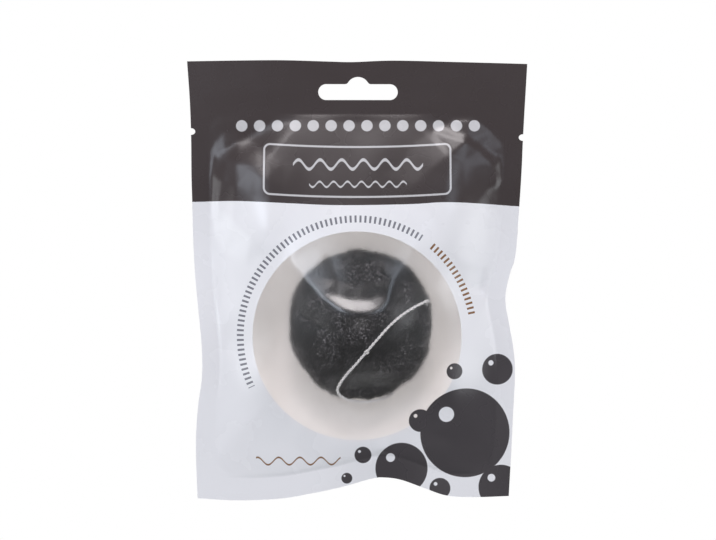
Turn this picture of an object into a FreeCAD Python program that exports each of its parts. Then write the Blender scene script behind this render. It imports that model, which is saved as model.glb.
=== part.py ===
import FreeCAD, Part
import math
import os

import Sketcher

# A konjac sponge on its cotton loop, sealed in a printed film pouch that hangs from a shop peg.
# Millimetres, +Z up, front towards -Y. The origin is the centre of the hanging slot, in the
# pouch's middle plane.

Vector = FreeCAD.Vector

DRIVING_SIZES = {
    # Film: one ply's gauge, and how wide a cut reaches past what it cuts
    "film_gauge": 0.15,
    "cut_overrun": 5,
    # Pouch outline, narrower at the bottom because the filled film draws in
    "top_half_width": 68.4,
    "bottom_half_width": 63,
    # Heights from the top edge down: the header's weld above and below the slot's centre, the
    # lip down to the tear line, the dark band, the white panel and the bottom weld
    "top_rise": 12.2,
    "header_seal_drop": 8.4,
    "lip_height": 8.7,
    "band_height": 28.1,
    "panel_height": 109.5,
    "bottom_seal_height": 8.6,
    "side_seal_width": 6.5,
    # Tear line with a round notch at each end
    "tear_gap": 0.1,
    "notch_radius": 1.6,
    # Round window, its centre a little above the white panel's middle
    "window_rise": 1.85,
    "window_radius": 41.8,
    # Hanging slot: a long slot with a round bump on its upper side
    "slot_length": 32,
    "slot_height": 6.4,
    "bump_radius": 4.7,
    "bump_rise": 6.1,
    # Room between the sponge's middle and each film, and between the films where they lie together
    "front_slack": 2.5,
    "back_slack": 4.6,
    "ply_gap": 0.3,
    # The pouch's top corners, where the films lie together: how far in and down they reach
    "corner_reach": 24,
    "corner_drop": 21.6,
    # Sponge: half ball with a rounded back edge, a little above and right of the window's centre,
    # its flat back behind the middle plane
    "sponge_side": 1.2,
    "sponge_rise": 5.6,
    "sponge_back": 7.6,
    "sponge_radius": 29.4,
    "sponge_thickness": 27,
    "shoulder_radius": 18,
    "back_edge_radius": 5,
    # Cotton loop through a slanted hole near the sponge's edge
    "cord_diameter": 1.2,
    "tunnel_clearance": 0.1,
    "knot_radius": 1,
    "knot_bore_clearance": 0.1,
}

# Heights and depths that follow from the driving sizes, each as a formula of the sheets' names
LEVEL_FORMULAS = {
    "top": "sizes.top_rise",
    "weld_foot": "-sizes.header_seal_drop",
    "tear": "-sizes.header_seal_drop - sizes.lip_height",
    "tear_upper": "levels.tear + sizes.tear_gap / 2",
    "tear_lower": "levels.tear - sizes.tear_gap / 2",
    "band_foot": "levels.tear - sizes.band_height",
    "panel_foot": "levels.band_foot - sizes.panel_height",
    "pouch_foot": "levels.panel_foot - sizes.bottom_seal_height",
    "window": "levels.band_foot - sizes.panel_height / 2 + sizes.window_rise",
    "sponge": "levels.window + sizes.sponge_rise",
    "front_depth": "sizes.sponge_thickness - sizes.sponge_back + sizes.front_slack",
    "back_depth": "sizes.sponge_back + sizes.back_slack",
    "taper": "(sizes.top_half_width - sizes.bottom_half_width) / (levels.top - levels.pouch_foot)",
}

# The films' bulge by height, below the sponge's centre and then above it. Each row: the share of
# the way up to the sponge's centre, or from there up to the header's weld, the front and the back
# film's depth as shares of their full depth, and how flat the front film stays across the pouch.
BULGE_BELOW = [
    (0.0, 0.0, 0.0, 0.7),
    (0.08, 0.04, 0.09, 0.7),
    (0.17, 0.09, 0.20, 0.65),
    (0.28, 0.15, 0.36, 0.6),
    (0.38, 0.215, 0.50, 0.55),
    (0.46, 0.295, 0.62, 0.5),
    (0.53, 0.39, 0.72, 0.45),
    (0.60, 0.54, 0.81, 0.4),
    (0.67, 0.705, 0.89, 0.3),
    (0.75, 0.855, 0.945, 0.2),
    (0.82, 0.94, 0.975, 0.1),
    (0.90, 0.985, 0.99, 0.05),
]
BULGE_ABOVE = [
    (0.0, 1.0, 1.0, 0.0),
    (0.06, 0.975, 0.995, 0.0),
    (0.13, 0.912, 0.98, 0.02),
    (0.21, 0.838, 0.935, 0.08),
    (0.30, 0.75, 0.865, 0.2),
    (0.39, 0.665, 0.775, 0.4),
    (0.48, 0.585, 0.68, 0.58),
    (0.57, 0.505, 0.59, 0.72),
    (0.66, 0.428, 0.505, 0.87),
    (0.75, 0.352, 0.425, 0.97),
    (0.83, 0.292, 0.352, 1.0),
    (0.90, 0.23, 0.288, 1.0),
    (0.96, 0.105, 0.13, 1.0),
    (1.0, 0.0, 0.0, 1.0),
]
# Across the pouch a film is between a flat middle with curved sides, 1, and a tent, 0
BACK_FLATNESS = 0.7
FLAT_EDGE = 0.42
TENT_ROUNDING = 0.25
ACROSS_STEPS = 20
FILM_DEGREE = 3

# The loop's free stretch from the tunnel's front mouth, over the dome, under the sponge and up
# its back to the back mouth. X and Z are from the sponge's centre, Y from the middle plane.
CORD_ROUTE = [
    (26.2, -6.0, 7.4),
    (27.1, -8.6, 9.0),
    (24.8, -11.2, 7.9),
    (19.6, -14.3, 5.4),
    (12.6, -18.2, 0.4),
    (5.8, -19.8, -7.2),
    (-1.3, -17.45, -15.6),
    (-6.3, -13.2, -21.1),
    (-8.9, -9.4, -25.0),
    (-9.9, -7.4, -28.2),
    (-7.6, -6.2, -31.5),
    (-1.8, -5.4, -33.5),
    (4.6, -3.6, -32.9),
    (9.8, 0.4, -30.4),
    (12.8, 5.2, -27.4),
    (14.6, 8.5, -22.8),
    (16.5, 8.9, -17.2),
    (18.9, 9.2, -10.8),
    (20.4, 9.6, -5.6),
    (20.85, 9.5, -2.15),
    (21.5, 7.6, -1.0),
]
KNOT_RUN_START = 5
ARC_RUN_SHARE = 0.45


def make_sheet(name, entries):
    """A spreadsheet with one alias per entry."""
    sheet = doc.addObject("Spreadsheet::Sheet", name)
    for row, (alias, content) in enumerate(entries.items(), start=1):
        sheet.set(f"A{row}", alias)
        sheet.setAlias(f"B{row}", alias)
        sheet.set(f"B{row}", str(content))
        doc.recompute()
    return sheet


doc = FreeCAD.newDocument("konjac_sponge")
sizes = make_sheet("sizes", DRIVING_SIZES)
levels = make_sheet("levels", {name: "=" + formula for name, formula in LEVEL_FORMULAS.items()})


def size(name):
    """A driving size as a plain number."""
    return float(getattr(sizes, name))


def level(name):
    """A level as a plain number."""
    return float(getattr(levels, name))


def edge_at(name):
    """Expression for the pouch's half width at a level."""
    return f"(sizes.bottom_half_width + levels.taper * (levels.{name} - levels.pouch_foot))"


def weld_at(name):
    """Expression for the side welds' inner half width at a level."""
    return f"({edge_at(name)} - sizes.side_seal_width)"


def weld_half_width(height):
    """The side welds' inner half width at a height, as a number."""
    edge = size("bottom_half_width") + level("taper") * (height - level("pouch_foot"))
    return edge - size("side_seal_width")


# Welded strips: both films fused, cut from one flat sheet about the middle plane


def new_sketch(body, name, plane):
    """A sketch on one of its own body's origin planes."""
    sketch = body.newObject("Sketcher::SketchObject", name)
    support = next(f for f in body.Origin.OriginFeatures if f.Role == plane)
    sketch.AttachmentSupport = (support, "")
    sketch.MapMode = "FlatFace"
    return sketch


def place_point(sketch, geometry, vertex, across, up):
    """Bind a sketch point to two expressions, measured from the sketch's origin."""
    for kind, expression in (("DistanceX", across), ("DistanceY", up)):
        index = sketch.addConstraint(Sketcher.Constraint(kind, -1, 1, geometry, vertex, 1.0))
        sketch.setExpression(f"Constraints[{index}]", expression)


def draw_outline(sketch, corners, rough_points):
    """A closed outline of straight lines through corners given as expressions."""
    count = len(corners)
    for i in range(count):
        start = Vector(*rough_points[i], 0)
        end = Vector(*rough_points[(i + 1) % count], 0)
        sketch.addGeometry(Part.LineSegment(start, end))
    for i in range(count):
        sketch.addConstraint(Sketcher.Constraint("Coincident", i, 2, (i + 1) % count, 1))
    for i, (across, up) in enumerate(corners):
        place_point(sketch, i, 1, across, up)


def draw_circle(sketch, across, up, radius, rough_centre, rough_radius):
    """A circle whose centre and radius are expressions."""
    circle = Part.Circle(Vector(*rough_centre, 0), Vector(0, 0, 1), rough_radius)
    index = sketch.addGeometry(circle)
    place_point(sketch, index, 3, across, up)
    constraint = sketch.addConstraint(Sketcher.Constraint("Radius", index, rough_radius))
    sketch.setExpression(f"Constraints[{constraint}]", radius)


def pad_both_ways(body, sketch, length):
    """A pad of a sketch, half its length to each side."""
    pad = body.newObject("PartDesign::Pad", sketch.Name + "_pad")
    pad.Profile = sketch
    pad.SideType = "Symmetric"
    pad.setExpression("Length", length)
    return pad


def pocket_through(body, sketch):
    """A pocket of a sketch right through the welded films."""
    doc.recompute()
    volume = body.Shape.Volume
    pocket = body.newObject("PartDesign::Pocket", sketch.Name + "_pocket")
    pocket.Profile = sketch
    pocket.SideType = "Symmetric"
    pocket.setExpression("Length", "2 * sizes.cut_overrun")
    doc.recompute()
    if body.Shape.Volume >= volume:
        raise RuntimeError(f"{sketch.Name} cuts nothing")


def rough_corner(side, name, inner):
    """A starting place for a corner, before its expressions are solved."""
    half = weld_half_width(level(name))
    if not inner:
        half += size("side_seal_width")
    return (side * half, level(name))


def welded_strip(name, corners):
    """A welded strip whose corners are (side, level, on the weld's inner line)."""
    body = doc.addObject("PartDesign::Body", name)
    sketch = new_sketch(body, name + "_outline", "XZ_Plane")
    bound = []
    for side, height, inner in corners:
        half = weld_at(height) if inner else edge_at(height)
        bound.append((f"{side} * {half}", f"levels.{height}"))
    draw_outline(sketch, bound, [rough_corner(*corner) for corner in corners])
    pad_both_ways(body, sketch, "2 * sizes.film_gauge")
    return body


def cut_notches(body, sides):
    """A round notch in the pouch's edge at each end of the tear line."""
    sketch = new_sketch(body, body.Name + "_notches", "XZ_Plane")
    for side in sides:
        across = f"{side} * {edge_at('tear')}"
        start = rough_corner(side, "tear", False)
        draw_circle(sketch, across, "levels.tear", "sizes.notch_radius", start, size("notch_radius"))
    pocket_through(body, sketch)


def cut_hanging_slot(body):
    """The long slot with round ends, then the bump that centres it on a peg."""
    sketch = new_sketch(body, "hanging_slot", "XZ_Plane")
    radius = size("slot_height") / 2
    reach = size("slot_length") / 2 - radius
    quarter = math.pi / 2
    right = Part.Circle(Vector(reach, 0, 0), Vector(0, 0, 1), radius)
    left = Part.Circle(Vector(-reach, 0, 0), Vector(0, 0, 1), radius)
    sketch.addGeometry(Part.LineSegment(Vector(-reach, -radius, 0), Vector(reach, -radius, 0)))
    sketch.addGeometry(Part.ArcOfCircle(right, -quarter, quarter))
    sketch.addGeometry(Part.LineSegment(Vector(reach, radius, 0), Vector(-reach, radius, 0)))
    sketch.addGeometry(Part.ArcOfCircle(left, quarter, 3 * quarter))
    for i in range(4):
        sketch.addConstraint(Sketcher.Constraint("Tangent", i, 2, (i + 1) % 4, 1))
    reach_expression = "(sizes.slot_length - sizes.slot_height) / 2"
    place_point(sketch, 1, 3, reach_expression, "0")
    index = sketch.addConstraint(Sketcher.Constraint("DistanceX", -1, 1, 3, 3, -reach))
    sketch.setExpression(f"Constraints[{index}]", f"-{reach_expression}")
    index = sketch.addConstraint(Sketcher.Constraint("Radius", 1, radius))
    sketch.setExpression(f"Constraints[{index}]", "sizes.slot_height / 2")
    pocket_through(body, sketch)
    bump = new_sketch(body, "slot_bump", "XZ_Plane")
    centre = size("bump_rise") - size("bump_radius")
    centre_expression = "sizes.bump_rise - sizes.bump_radius"
    draw_circle(bump, "0", centre_expression, "sizes.bump_radius", (0, centre), size("bump_radius"))
    pocket_through(body, bump)


def make_header_seal():
    """The header's weld, with a leg of each side weld down to the tear line."""
    corners = [
        (-1, "top", False),
        (-1, "tear_upper", False),
        (-1, "tear_upper", True),
        (-1, "weld_foot", True),
        (1, "weld_foot", True),
        (1, "tear_upper", True),
        (1, "tear_upper", False),
        (1, "top", False),
    ]
    body = welded_strip("header_seal", corners)
    cut_hanging_slot(body)
    cut_notches(body, (-1, 1))
    return body


def make_side_seal(name, side):
    """One side's weld, from the tear line down to the bottom weld."""
    corners = [
        (side, "tear_lower", False),
        (side, "panel_foot", False),
        (side, "panel_foot", True),
        (side, "tear_lower", True),
    ]
    body = welded_strip(name, corners)
    cut_notches(body, (side,))
    return body


def make_bottom_seal():
    """The bottom weld, across the whole width."""
    corners = [
        (-1, "panel_foot", False),
        (-1, "pouch_foot", False),
        (1, "pouch_foot", False),
        (1, "panel_foot", False),
    ]
    return welded_strip("bottom_seal", corners)


# Unwelded films, bulging over the sponge, each cut into its print zones


def smooth_step(value):
    """A smooth rise from 0 to 1 as the value goes from 0 to 1."""
    share = min(max(value, 0), 1)
    return share**2 * (3 - 2 * share)


def bulge_rows():
    """Each row of the bulge: its height, both depth shares and the front film's flatness."""
    foot, middle, weld = level("panel_foot"), level("sponge"), level("weld_foot")
    for share, *form in BULGE_BELOW:
        yield foot + share * (middle - foot), *form
    for share, *form in BULGE_ABOVE:
        yield middle + share * (weld - middle), *form


def across_share(across, height, flatness):
    """A film's depth at a place across the pouch, as a share of its depth over the sponge."""
    rise = (height - level("weld_foot")) / size("corner_drop") + 1
    reach = weld_half_width(height) - size("corner_reach") * smooth_step(rise)
    peak = size("sponge_side")
    away = min(abs(across - peak) / (reach - math.copysign(peak, across - peak)), 1)
    full = math.hypot(1, TENT_ROUNDING)
    tent = (full - math.hypot(away, TENT_ROUNDING)) / (full - TENT_ROUNDING)
    flat = smooth_step((1 - away) / FLAT_EDGE)
    return flatness * flat + (1 - flatness) * tent


def film_row(height, depth, flatness):
    """One row of a film: places across the pouch, each with its depth, closed at both welds."""
    half = weld_half_width(height)
    row = []
    for step in range(ACROSS_STEPS + 1):
        across = half * (2 * step / ACROSS_STEPS - 1)
        stand = 0
        if depth > 0 and 0 < step < ACROSS_STEPS:
            stand = max(depth * across_share(across, height, flatness), size("ply_gap"))
        row.append((across, stand, height))
    return row


def spline_knots(pole_count):
    """Knots and multiplicities of a spline that starts and ends at its outer poles."""
    spans = pole_count - FILM_DEGREE
    return list(range(spans + 1)), [FILM_DEGREE + 1] + [1] * (spans - 1) + [FILM_DEGREE + 1]


def make_film(name, side, rows):
    """One film between the welds: a bulging face under its poles, thickened by the film's gauge."""
    poles = [[Vector(across, side * stand, height) for across, stand, height in row] for row in rows]
    up_knots, up_counts = spline_knots(len(rows))
    across_knots, across_counts = spline_knots(ACROSS_STEPS + 1)
    surface = Part.BSplineSurface()
    surface.buildFromPolesMultsKnots(
        poles, up_counts, across_counts, up_knots, across_knots, False, False, FILM_DEGREE, FILM_DEGREE
    )
    film = doc.addObject("Part::Feature", name)
    film.Shape = surface.toShape().extrude(Vector(0, side * size("film_gauge"), 0))
    return film


def make_zone_box(name, low, high):
    """A box across the whole pouch between two levels."""
    box = doc.addObject("Part::Box", name)
    reach = "(sizes.top_half_width + sizes.cut_overrun)"
    depth = "(levels.front_depth + levels.back_depth)"
    box.setExpression("Length", f"2 * {reach}")
    box.setExpression("Width", f"2 * {depth}")
    box.setExpression("Height", f"levels.{high} - levels.{low}")
    box.setExpression("Placement.Base.x", f"-{reach}")
    box.setExpression("Placement.Base.y", f"-{depth}")
    box.setExpression("Placement.Base.z", f"levels.{low}")
    return box


def make_window_tool():
    """The round window's cutter, along Y."""
    tool = doc.addObject("Part::Cylinder", "window_tool")
    tool.Placement = FreeCAD.Placement(Vector(0, 0, 0), FreeCAD.Rotation(Vector(1, 0, 0), 90))
    tool.setExpression("Radius", "sizes.window_radius")
    tool.setExpression("Height", "levels.front_depth + sizes.cut_overrun")
    tool.setExpression("Placement.Base.z", "levels.window")
    return tool


def boolean(kind, name, base, tool):
    """A named boolean of two objects."""
    result = doc.addObject(kind, name)
    result.Base = base
    result.Tool = tool
    return result


def make_films():
    """The front and back films, cut at the tear line, the dark band and the window."""
    front_rows = []
    back_rows = []
    for height, front_share, back_share, flatness in bulge_rows():
        front_rows.append(film_row(height, level("front_depth") * front_share, flatness))
        back_rows.append(film_row(height, level("back_depth") * back_share, BACK_FLATNESS))
    front = make_film("front_film", -1, front_rows)
    back = make_film("back_film", 1, back_rows)
    above_tear = make_zone_box("above_tear", "tear_upper", "top")
    band_zone = make_zone_box("band_zone", "band_foot", "tear_lower")
    panel_zone = make_zone_box("panel_zone", "pouch_foot", "band_foot")
    window_tool = make_window_tool()
    below_band = boolean("Part::Common", "front_below_band", front, panel_zone)
    return [
        boolean("Part::Common", "header_front_lip", front, above_tear),
        boolean("Part::Common", "front_band", front, band_zone),
        boolean("Part::Common", "front_window", below_band, window_tool),
        boolean("Part::Cut", "front_panel", below_band, window_tool),
        boolean("Part::Common", "header_back_lip", back, above_tear),
        boolean("Part::Common", "back_band", back, band_zone),
        boolean("Part::Common", "back_panel", back, panel_zone),
    ]


# Sponge and cotton loop


def draw_half_ball(sketch):
    """Half section: flat back, rounded back edge, shoulder and crown, turned about the Y axis."""
    back = size("sponge_back")
    radius = size("sponge_radius")
    edge = size("back_edge_radius")
    shoulder = size("shoulder_radius")
    apex = back - size("sponge_thickness")
    rise = back - edge - apex
    inset = radius - shoulder
    crown = (inset**2 + rise**2 - shoulder**2) / (2 * (rise - shoulder))
    lean = math.atan2(inset, crown - rise)
    quarter = math.pi / 2
    edge_circle = Part.Circle(Vector(radius - edge, back - edge, 0), Vector(0, 0, 1), edge)
    shoulder_circle = Part.Circle(Vector(inset, back - edge, 0), Vector(0, 0, 1), shoulder)
    crown_circle = Part.Circle(Vector(0, apex + crown, 0), Vector(0, 0, 1), crown)
    sketch.addGeometry(Part.LineSegment(Vector(0, apex, 0), Vector(0, back, 0)))
    sketch.addGeometry(Part.LineSegment(Vector(0, back, 0), Vector(radius - edge, back, 0)))
    sketch.addGeometry(Part.ArcOfCircle(edge_circle, 0, quarter))
    sketch.addGeometry(Part.ArcOfCircle(shoulder_circle, lean - quarter, 0))
    sketch.addGeometry(Part.ArcOfCircle(crown_circle, -quarter, lean - quarter))
    axis, flat, edge_arc, shoulder_arc, crown_arc = range(5)
    joints = [
        ("Coincident", axis, 2, flat, 1),
        ("Tangent", flat, 2, edge_arc, 2),
        ("Tangent", edge_arc, 1, shoulder_arc, 2),
        ("Tangent", shoulder_arc, 1, crown_arc, 2),
        ("Coincident", crown_arc, 1, axis, 1),
        ("PointOnObject", axis, 1, -2),
        ("PointOnObject", crown_arc, 3, -2),
        ("Horizontal", flat),
    ]
    for joint in joints:
        sketch.addConstraint(Sketcher.Constraint(*joint))
    place_point(sketch, axis, 2, "0", "sizes.sponge_back")
    bound = [
        (("DistanceY", axis, 1, axis, 2, back - apex), "sizes.sponge_thickness"),
        (("DistanceX", -1, 1, edge_arc, 1, radius), "sizes.sponge_radius"),
        (("Radius", edge_arc, edge), "sizes.back_edge_radius"),
        (("Radius", shoulder_arc, shoulder), "sizes.shoulder_radius"),
        (("DistanceY", edge_arc, 1, edge_arc, 2, edge), "sizes.back_edge_radius"),
    ]
    for arguments, expression in bound:
        index = sketch.addConstraint(Sketcher.Constraint(*arguments))
        sketch.setExpression(f"Constraints[{index}]", expression)


def route_point(point):
    """A point of the cord's route in the part's frame."""
    across, depth, up = point
    return Vector(across + size("sponge_side"), depth, up + level("sponge"))


def turned_to(direction):
    """The rotation that turns +Z to a direction."""
    return FreeCAD.Rotation(Vector(0, 0, 1), direction)


def make_rod(name, start, end, radius):
    """A round rod between two points, its radius bound to an expression."""
    rod = doc.addObject("Part::Cylinder", name)
    rod.setExpression("Radius", radius)
    rod.Height = (end - start).Length
    rod.Placement = FreeCAD.Placement(start, turned_to(end - start))
    return rod


def make_sponge():
    """The half ball with the slanted tunnel for its loop."""
    body = doc.addObject("PartDesign::Body", "half_ball")
    sketch = new_sketch(body, "half_ball_section", "XY_Plane")
    draw_half_ball(sketch)
    ball = body.newObject("PartDesign::Revolution", "half_ball_turn")
    ball.Profile = sketch
    ball.ReferenceAxis = (sketch, ["V_Axis"])
    ball.Angle = 360
    body.setExpression("Placement.Base.x", "sizes.sponge_side")
    body.setExpression("Placement.Base.z", "levels.sponge")
    front = route_point(CORD_ROUTE[0])
    back = route_point(CORD_ROUTE[-1])
    past = (front - back).normalize() * size("cut_overrun")
    tunnel_radius = "sizes.cord_diameter / 2 + sizes.tunnel_clearance"
    tunnel = make_rod("cord_tunnel", back - past, front + past, tunnel_radius)
    return boolean("Part::Cut", "sponge", body, tunnel)


def cord_path(points):
    """Straight runs joined by arcs as large as their shorter run allows, and each arc's radius."""
    edges = []
    radii = []
    start = points[0]
    for before, corner, after in zip(points, points[1:], points[2:]):
        inward = (before - corner).normalize()
        outward = (after - corner).normalize()
        turn = math.pi - inward.getAngle(outward)
        reach = ARC_RUN_SHARE * min((before - corner).Length, (after - corner).Length)
        radius = reach / math.tan(turn / 2)
        sag = radius * (1 / math.cos(turn / 2) - 1)
        first = corner + inward * reach
        last = corner + outward * reach
        middle = corner + (inward + outward).normalize() * sag
        edges.append(Part.LineSegment(start, first).toShape())
        edges.append(Part.Arc(first, middle, last).toShape())
        radii.append(radius)
        start = last
    edges.append(Part.LineSegment(start, points[-1]).toShape())
    return Part.Wire(edges), radii


def make_hang_cord():
    """The loop's free stretch, a tube along its route."""
    points = [route_point(point) for point in CORD_ROUTE]
    path, radii = cord_path(points)
    radius = size("cord_diameter") / 2
    ring = Part.Wire(Part.Circle(points[0], points[1] - points[0], radius).toShape())
    cord = doc.addObject("Part::Feature", "hang_cord")
    cord.Shape = path.makePipeShell([ring], True, False)
    section = math.pi * radius**2
    print("cord arc radii mm:", [round(value, 2) for value in radii])
    print("cord length mm:", round(path.Length, 1))
    print("cord volume share of section times length:", round(cord.Shape.Volume / (section * path.Length), 4))
    return cord


def make_cord_stitch():
    """The stretch of the loop inside the sponge's tunnel."""
    front = route_point(CORD_ROUTE[0])
    back = route_point(CORD_ROUTE[-1])
    return make_rod("cord_stitch", back, front, "sizes.cord_diameter / 2")


def make_cord_knot():
    """The round knot that closes the loop, with the cord running through it."""
    start = route_point(CORD_ROUTE[KNOT_RUN_START])
    end = route_point(CORD_ROUTE[KNOT_RUN_START + 1])
    middle = (start + end) / 2
    lump = doc.addObject("Part::Sphere", "knot_lump")
    lump.setExpression("Radius", "sizes.knot_radius")
    lump.Placement = FreeCAD.Placement(middle, turned_to(end - start))
    past = (end - start).normalize() * size("cut_overrun")
    bore_radius = "sizes.cord_diameter / 2 + sizes.knot_bore_clearance"
    bore = make_rod("knot_bore", middle - past, middle + past, bore_radius)
    return boolean("Part::Cut", "cord_knot", lump, bore)


def check_document():
    """Stop if any object failed to build."""
    for item in doc.Objects:
        if "Invalid" in item.State or "Error" in item.State:
            raise RuntimeError(f"{item.Name} failed: {item.State}")


def write_parts(parts):
    """Check each sub-part's shape, then write one file per node."""
    for part in parts:
        if part.Shape.isNull() or not part.Shape.isValid() or len(part.Shape.Solids) != 1:
            raise RuntimeError(f"{part.Label} is not one valid solid")
    os.makedirs("parts", exist_ok=True)
    for part in parts:
        part.Shape.exportStep(f"parts/{part.Label}.step")
        print(part.Label, round(part.Shape.Volume, 2), "mm3")


parts = [
    make_header_seal(),
    make_side_seal("left_side_seal", -1),
    make_side_seal("right_side_seal", 1),
    make_bottom_seal(),
    *make_films(),
    make_sponge(),
    make_hang_cord(),
    make_cord_stitch(),
    make_cord_knot(),
]
doc.recompute()
check_document()
write_parts(parts)
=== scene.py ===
import math

import bpy
import numpy as np
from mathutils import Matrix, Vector
from mathutils.geometry import delaunay_2d_cdt


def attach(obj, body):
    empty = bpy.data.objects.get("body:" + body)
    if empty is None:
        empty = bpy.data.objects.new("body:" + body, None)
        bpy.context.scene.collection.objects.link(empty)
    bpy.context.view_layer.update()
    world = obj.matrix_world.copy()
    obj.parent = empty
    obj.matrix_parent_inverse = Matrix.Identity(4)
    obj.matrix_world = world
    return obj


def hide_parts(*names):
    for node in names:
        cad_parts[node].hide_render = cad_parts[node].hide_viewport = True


# A konjac sponge on its cotton loop, sealed in a printed film pouch. Lengths below are in
# millimetres unless a name says otherwise, and go to metres where meshes are made.

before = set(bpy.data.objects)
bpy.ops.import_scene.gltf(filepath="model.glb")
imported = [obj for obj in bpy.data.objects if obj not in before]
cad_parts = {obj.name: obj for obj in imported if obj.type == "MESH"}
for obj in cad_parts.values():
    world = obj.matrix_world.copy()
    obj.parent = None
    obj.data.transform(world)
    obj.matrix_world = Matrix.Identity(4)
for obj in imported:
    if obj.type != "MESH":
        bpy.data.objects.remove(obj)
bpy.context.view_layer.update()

MM = 0.001
SCENE = bpy.context.scene


# Camera: straight on, with the frame's width at the pouch's middle plane


IMAGE_WIDTH = 716
MM_PER_PIXEL = 0.4025
CAMERA_DISTANCE = 1000
VIEW_CENTRE_Z = -71.6
SENSOR_WIDTH = 36


def make_camera():
    """The camera in front of the pouch, looking along +Y."""
    data = bpy.data.cameras.new("camera")
    data.sensor_width = SENSOR_WIDTH
    data.lens = SENSOR_WIDTH * CAMERA_DISTANCE / (IMAGE_WIDTH * MM_PER_PIXEL)
    camera = bpy.data.objects.new("camera", data)
    camera.location = Vector((0, -CAMERA_DISTANCE, VIEW_CENTRE_Z)) * MM
    camera.rotation_euler = (math.pi / 2, 0, 0)
    SCENE.collection.objects.link(camera)
    SCENE.camera = camera


# Small helpers for meshes


def smooth_step(value):
    """A smooth rise from 0 to 1 as the value goes from 0 to 1."""
    share = np.clip(value, 0, 1)
    return share * share * (3 - 2 * share)


def smooth_line(points, step):
    """Points about a step apart on a smooth curve through the given points."""
    knots = np.array(points, float)
    padded = np.vstack([2 * knots[0] - knots[1], knots, 2 * knots[-1] - knots[-2]])
    line = []
    for before, start, end, after in zip(padded, padded[1:], padded[2:], padded[3:]):
        count = max(1, math.ceil(np.linalg.norm(end - start) / step))
        t = (np.arange(count) / count)[:, None]
        tangent_start = (end - before) / 2
        tangent_end = (after - start) / 2
        line.append(
            start * (2 * t**3 - 3 * t**2 + 1)
            + tangent_start * (t**3 - 2 * t**2 + t)
            + end * (3 * t**2 - 2 * t**3)
            + tangent_end * (t**3 - t**2)
        )
    line.append(knots[-1:])
    return np.vstack(line)


def link_mesh(name, points, faces, materials):
    """A smooth-shaded mesh object from points in millimetres."""
    mesh = bpy.data.meshes.new(name)
    mesh.from_pydata((np.asarray(points) * MM).tolist(), [], faces)
    mesh.shade_smooth()
    for material in materials:
        mesh.materials.append(material)
    piece = bpy.data.objects.new(name, mesh)
    SCENE.collection.objects.link(piece)
    return piece


# Sponge and cord sizes


# In metres, as the cord's route and length are
SPONGE_CENTRE = Vector((0.0012, 0, -0.0925))
SPONGE_MIDDLE_X = 1.2
SPONGE_RADIUS = 29.4
SPONGE_BACK = 7.6
SPONGE_THICKNESS = 27.0
SHOULDER_RADIUS = 18.0
BACK_EDGE_RADIUS = 5.0
SPONGE_APEX = SPONGE_BACK - SPONGE_THICKNESS
SPONGE_EDGE_Y = SPONGE_BACK - BACK_EDGE_RADIUS
SHOULDER_INSET = SPONGE_RADIUS - SHOULDER_RADIUS
DOME_RISE = SPONGE_EDGE_Y - SPONGE_APEX
CROWN_RADIUS = (SHOULDER_INSET**2 + DOME_RISE**2 - SHOULDER_RADIUS**2) / (2 * (DOME_RISE - SHOULDER_RADIUS))
CROWN_LEAN = math.atan2(SHOULDER_INSET, CROWN_RADIUS - DOME_RISE)


# Cotton loop: a two-ply strand along the cord's route


# Control points from the sponge's centre
CORD_ROUTE = [
    (0.0262, -0.0060, 0.0074), (0.0271, -0.0086, 0.0090), (0.0248, -0.0112, 0.0079),
    (0.0196, -0.0143, 0.0054), (0.0126, -0.0182, 0.0004), (0.0058, -0.0198, -0.0072),
    (-0.0013, -0.0171, -0.0156), (-0.0063, -0.0128, -0.0211), (-0.0089, -0.0094, -0.0250),
    (-0.0097, -0.0074, -0.0276), (-0.0074, -0.0062, -0.0304), (-0.0016, -0.0054, -0.0323),
    (0.0050, -0.0040, -0.0319), (0.0102, 0.0001, -0.0308), (0.0132, 0.0052, -0.0290),
    (0.0146, 0.0085, -0.0228), (0.0165, 0.0089, -0.0172), (0.0189, 0.0092, -0.0108),
    (0.0204, 0.0096, -0.0056), (0.02085, 0.0095, -0.00215), (0.0215, 0.0076, -0.0010),
]
STRAND_RADIUS = 0.33
STRAND_OFFSET = 0.28
TWIST_PITCH = 3.6
STRAND_SIDES = 8
SPLINE_STEPS = 12
KNOT_RUN_START = 5
KNOT_SIZE = 0.75
KNOT_POINTS = 90
KNOT_LOBE = 1.6
KNOT_DEPTH = 1.3
# A direction that no cord starts along
START_SIDE = (0.3, 0.5, 0.8)


def spline_points(points, steps):
    """Points read from a NURBS spline with the given control points, in metres."""
    curve = bpy.data.curves.new("cord_line", "CURVE")
    curve.dimensions = "3D"
    spline = curve.splines.new("NURBS")
    spline.points.add(len(points) - 1)
    for control, point in zip(spline.points, points):
        control.co = (*point, 1.0)
    spline.order_u = 3
    spline.use_endpoint_u = True
    spline.resolution_u = steps
    holder = bpy.data.objects.new("cord_line", curve)
    mesh = bpy.data.meshes.new_from_object(holder)
    line = [v.co.copy() for v in mesh.vertices]
    bpy.data.objects.remove(holder)
    bpy.data.curves.remove(curve)
    bpy.data.meshes.remove(mesh)
    return line


def carried_frames(line):
    """Two cross directions at each point of a line in millimetres, which don't spin along it."""
    tangents = np.gradient(line, axis=0)
    tangents /= np.linalg.norm(tangents, axis=1, keepdims=True)
    first = np.cross(tangents[0], START_SIDE)
    sides = [first / np.linalg.norm(first)]
    for tangent in tangents[1:]:
        side = sides[-1] - tangent * np.dot(sides[-1], tangent)
        sides.append(side / np.linalg.norm(side))
    sides = np.array(sides)
    return sides, np.cross(tangents, sides)


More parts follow.
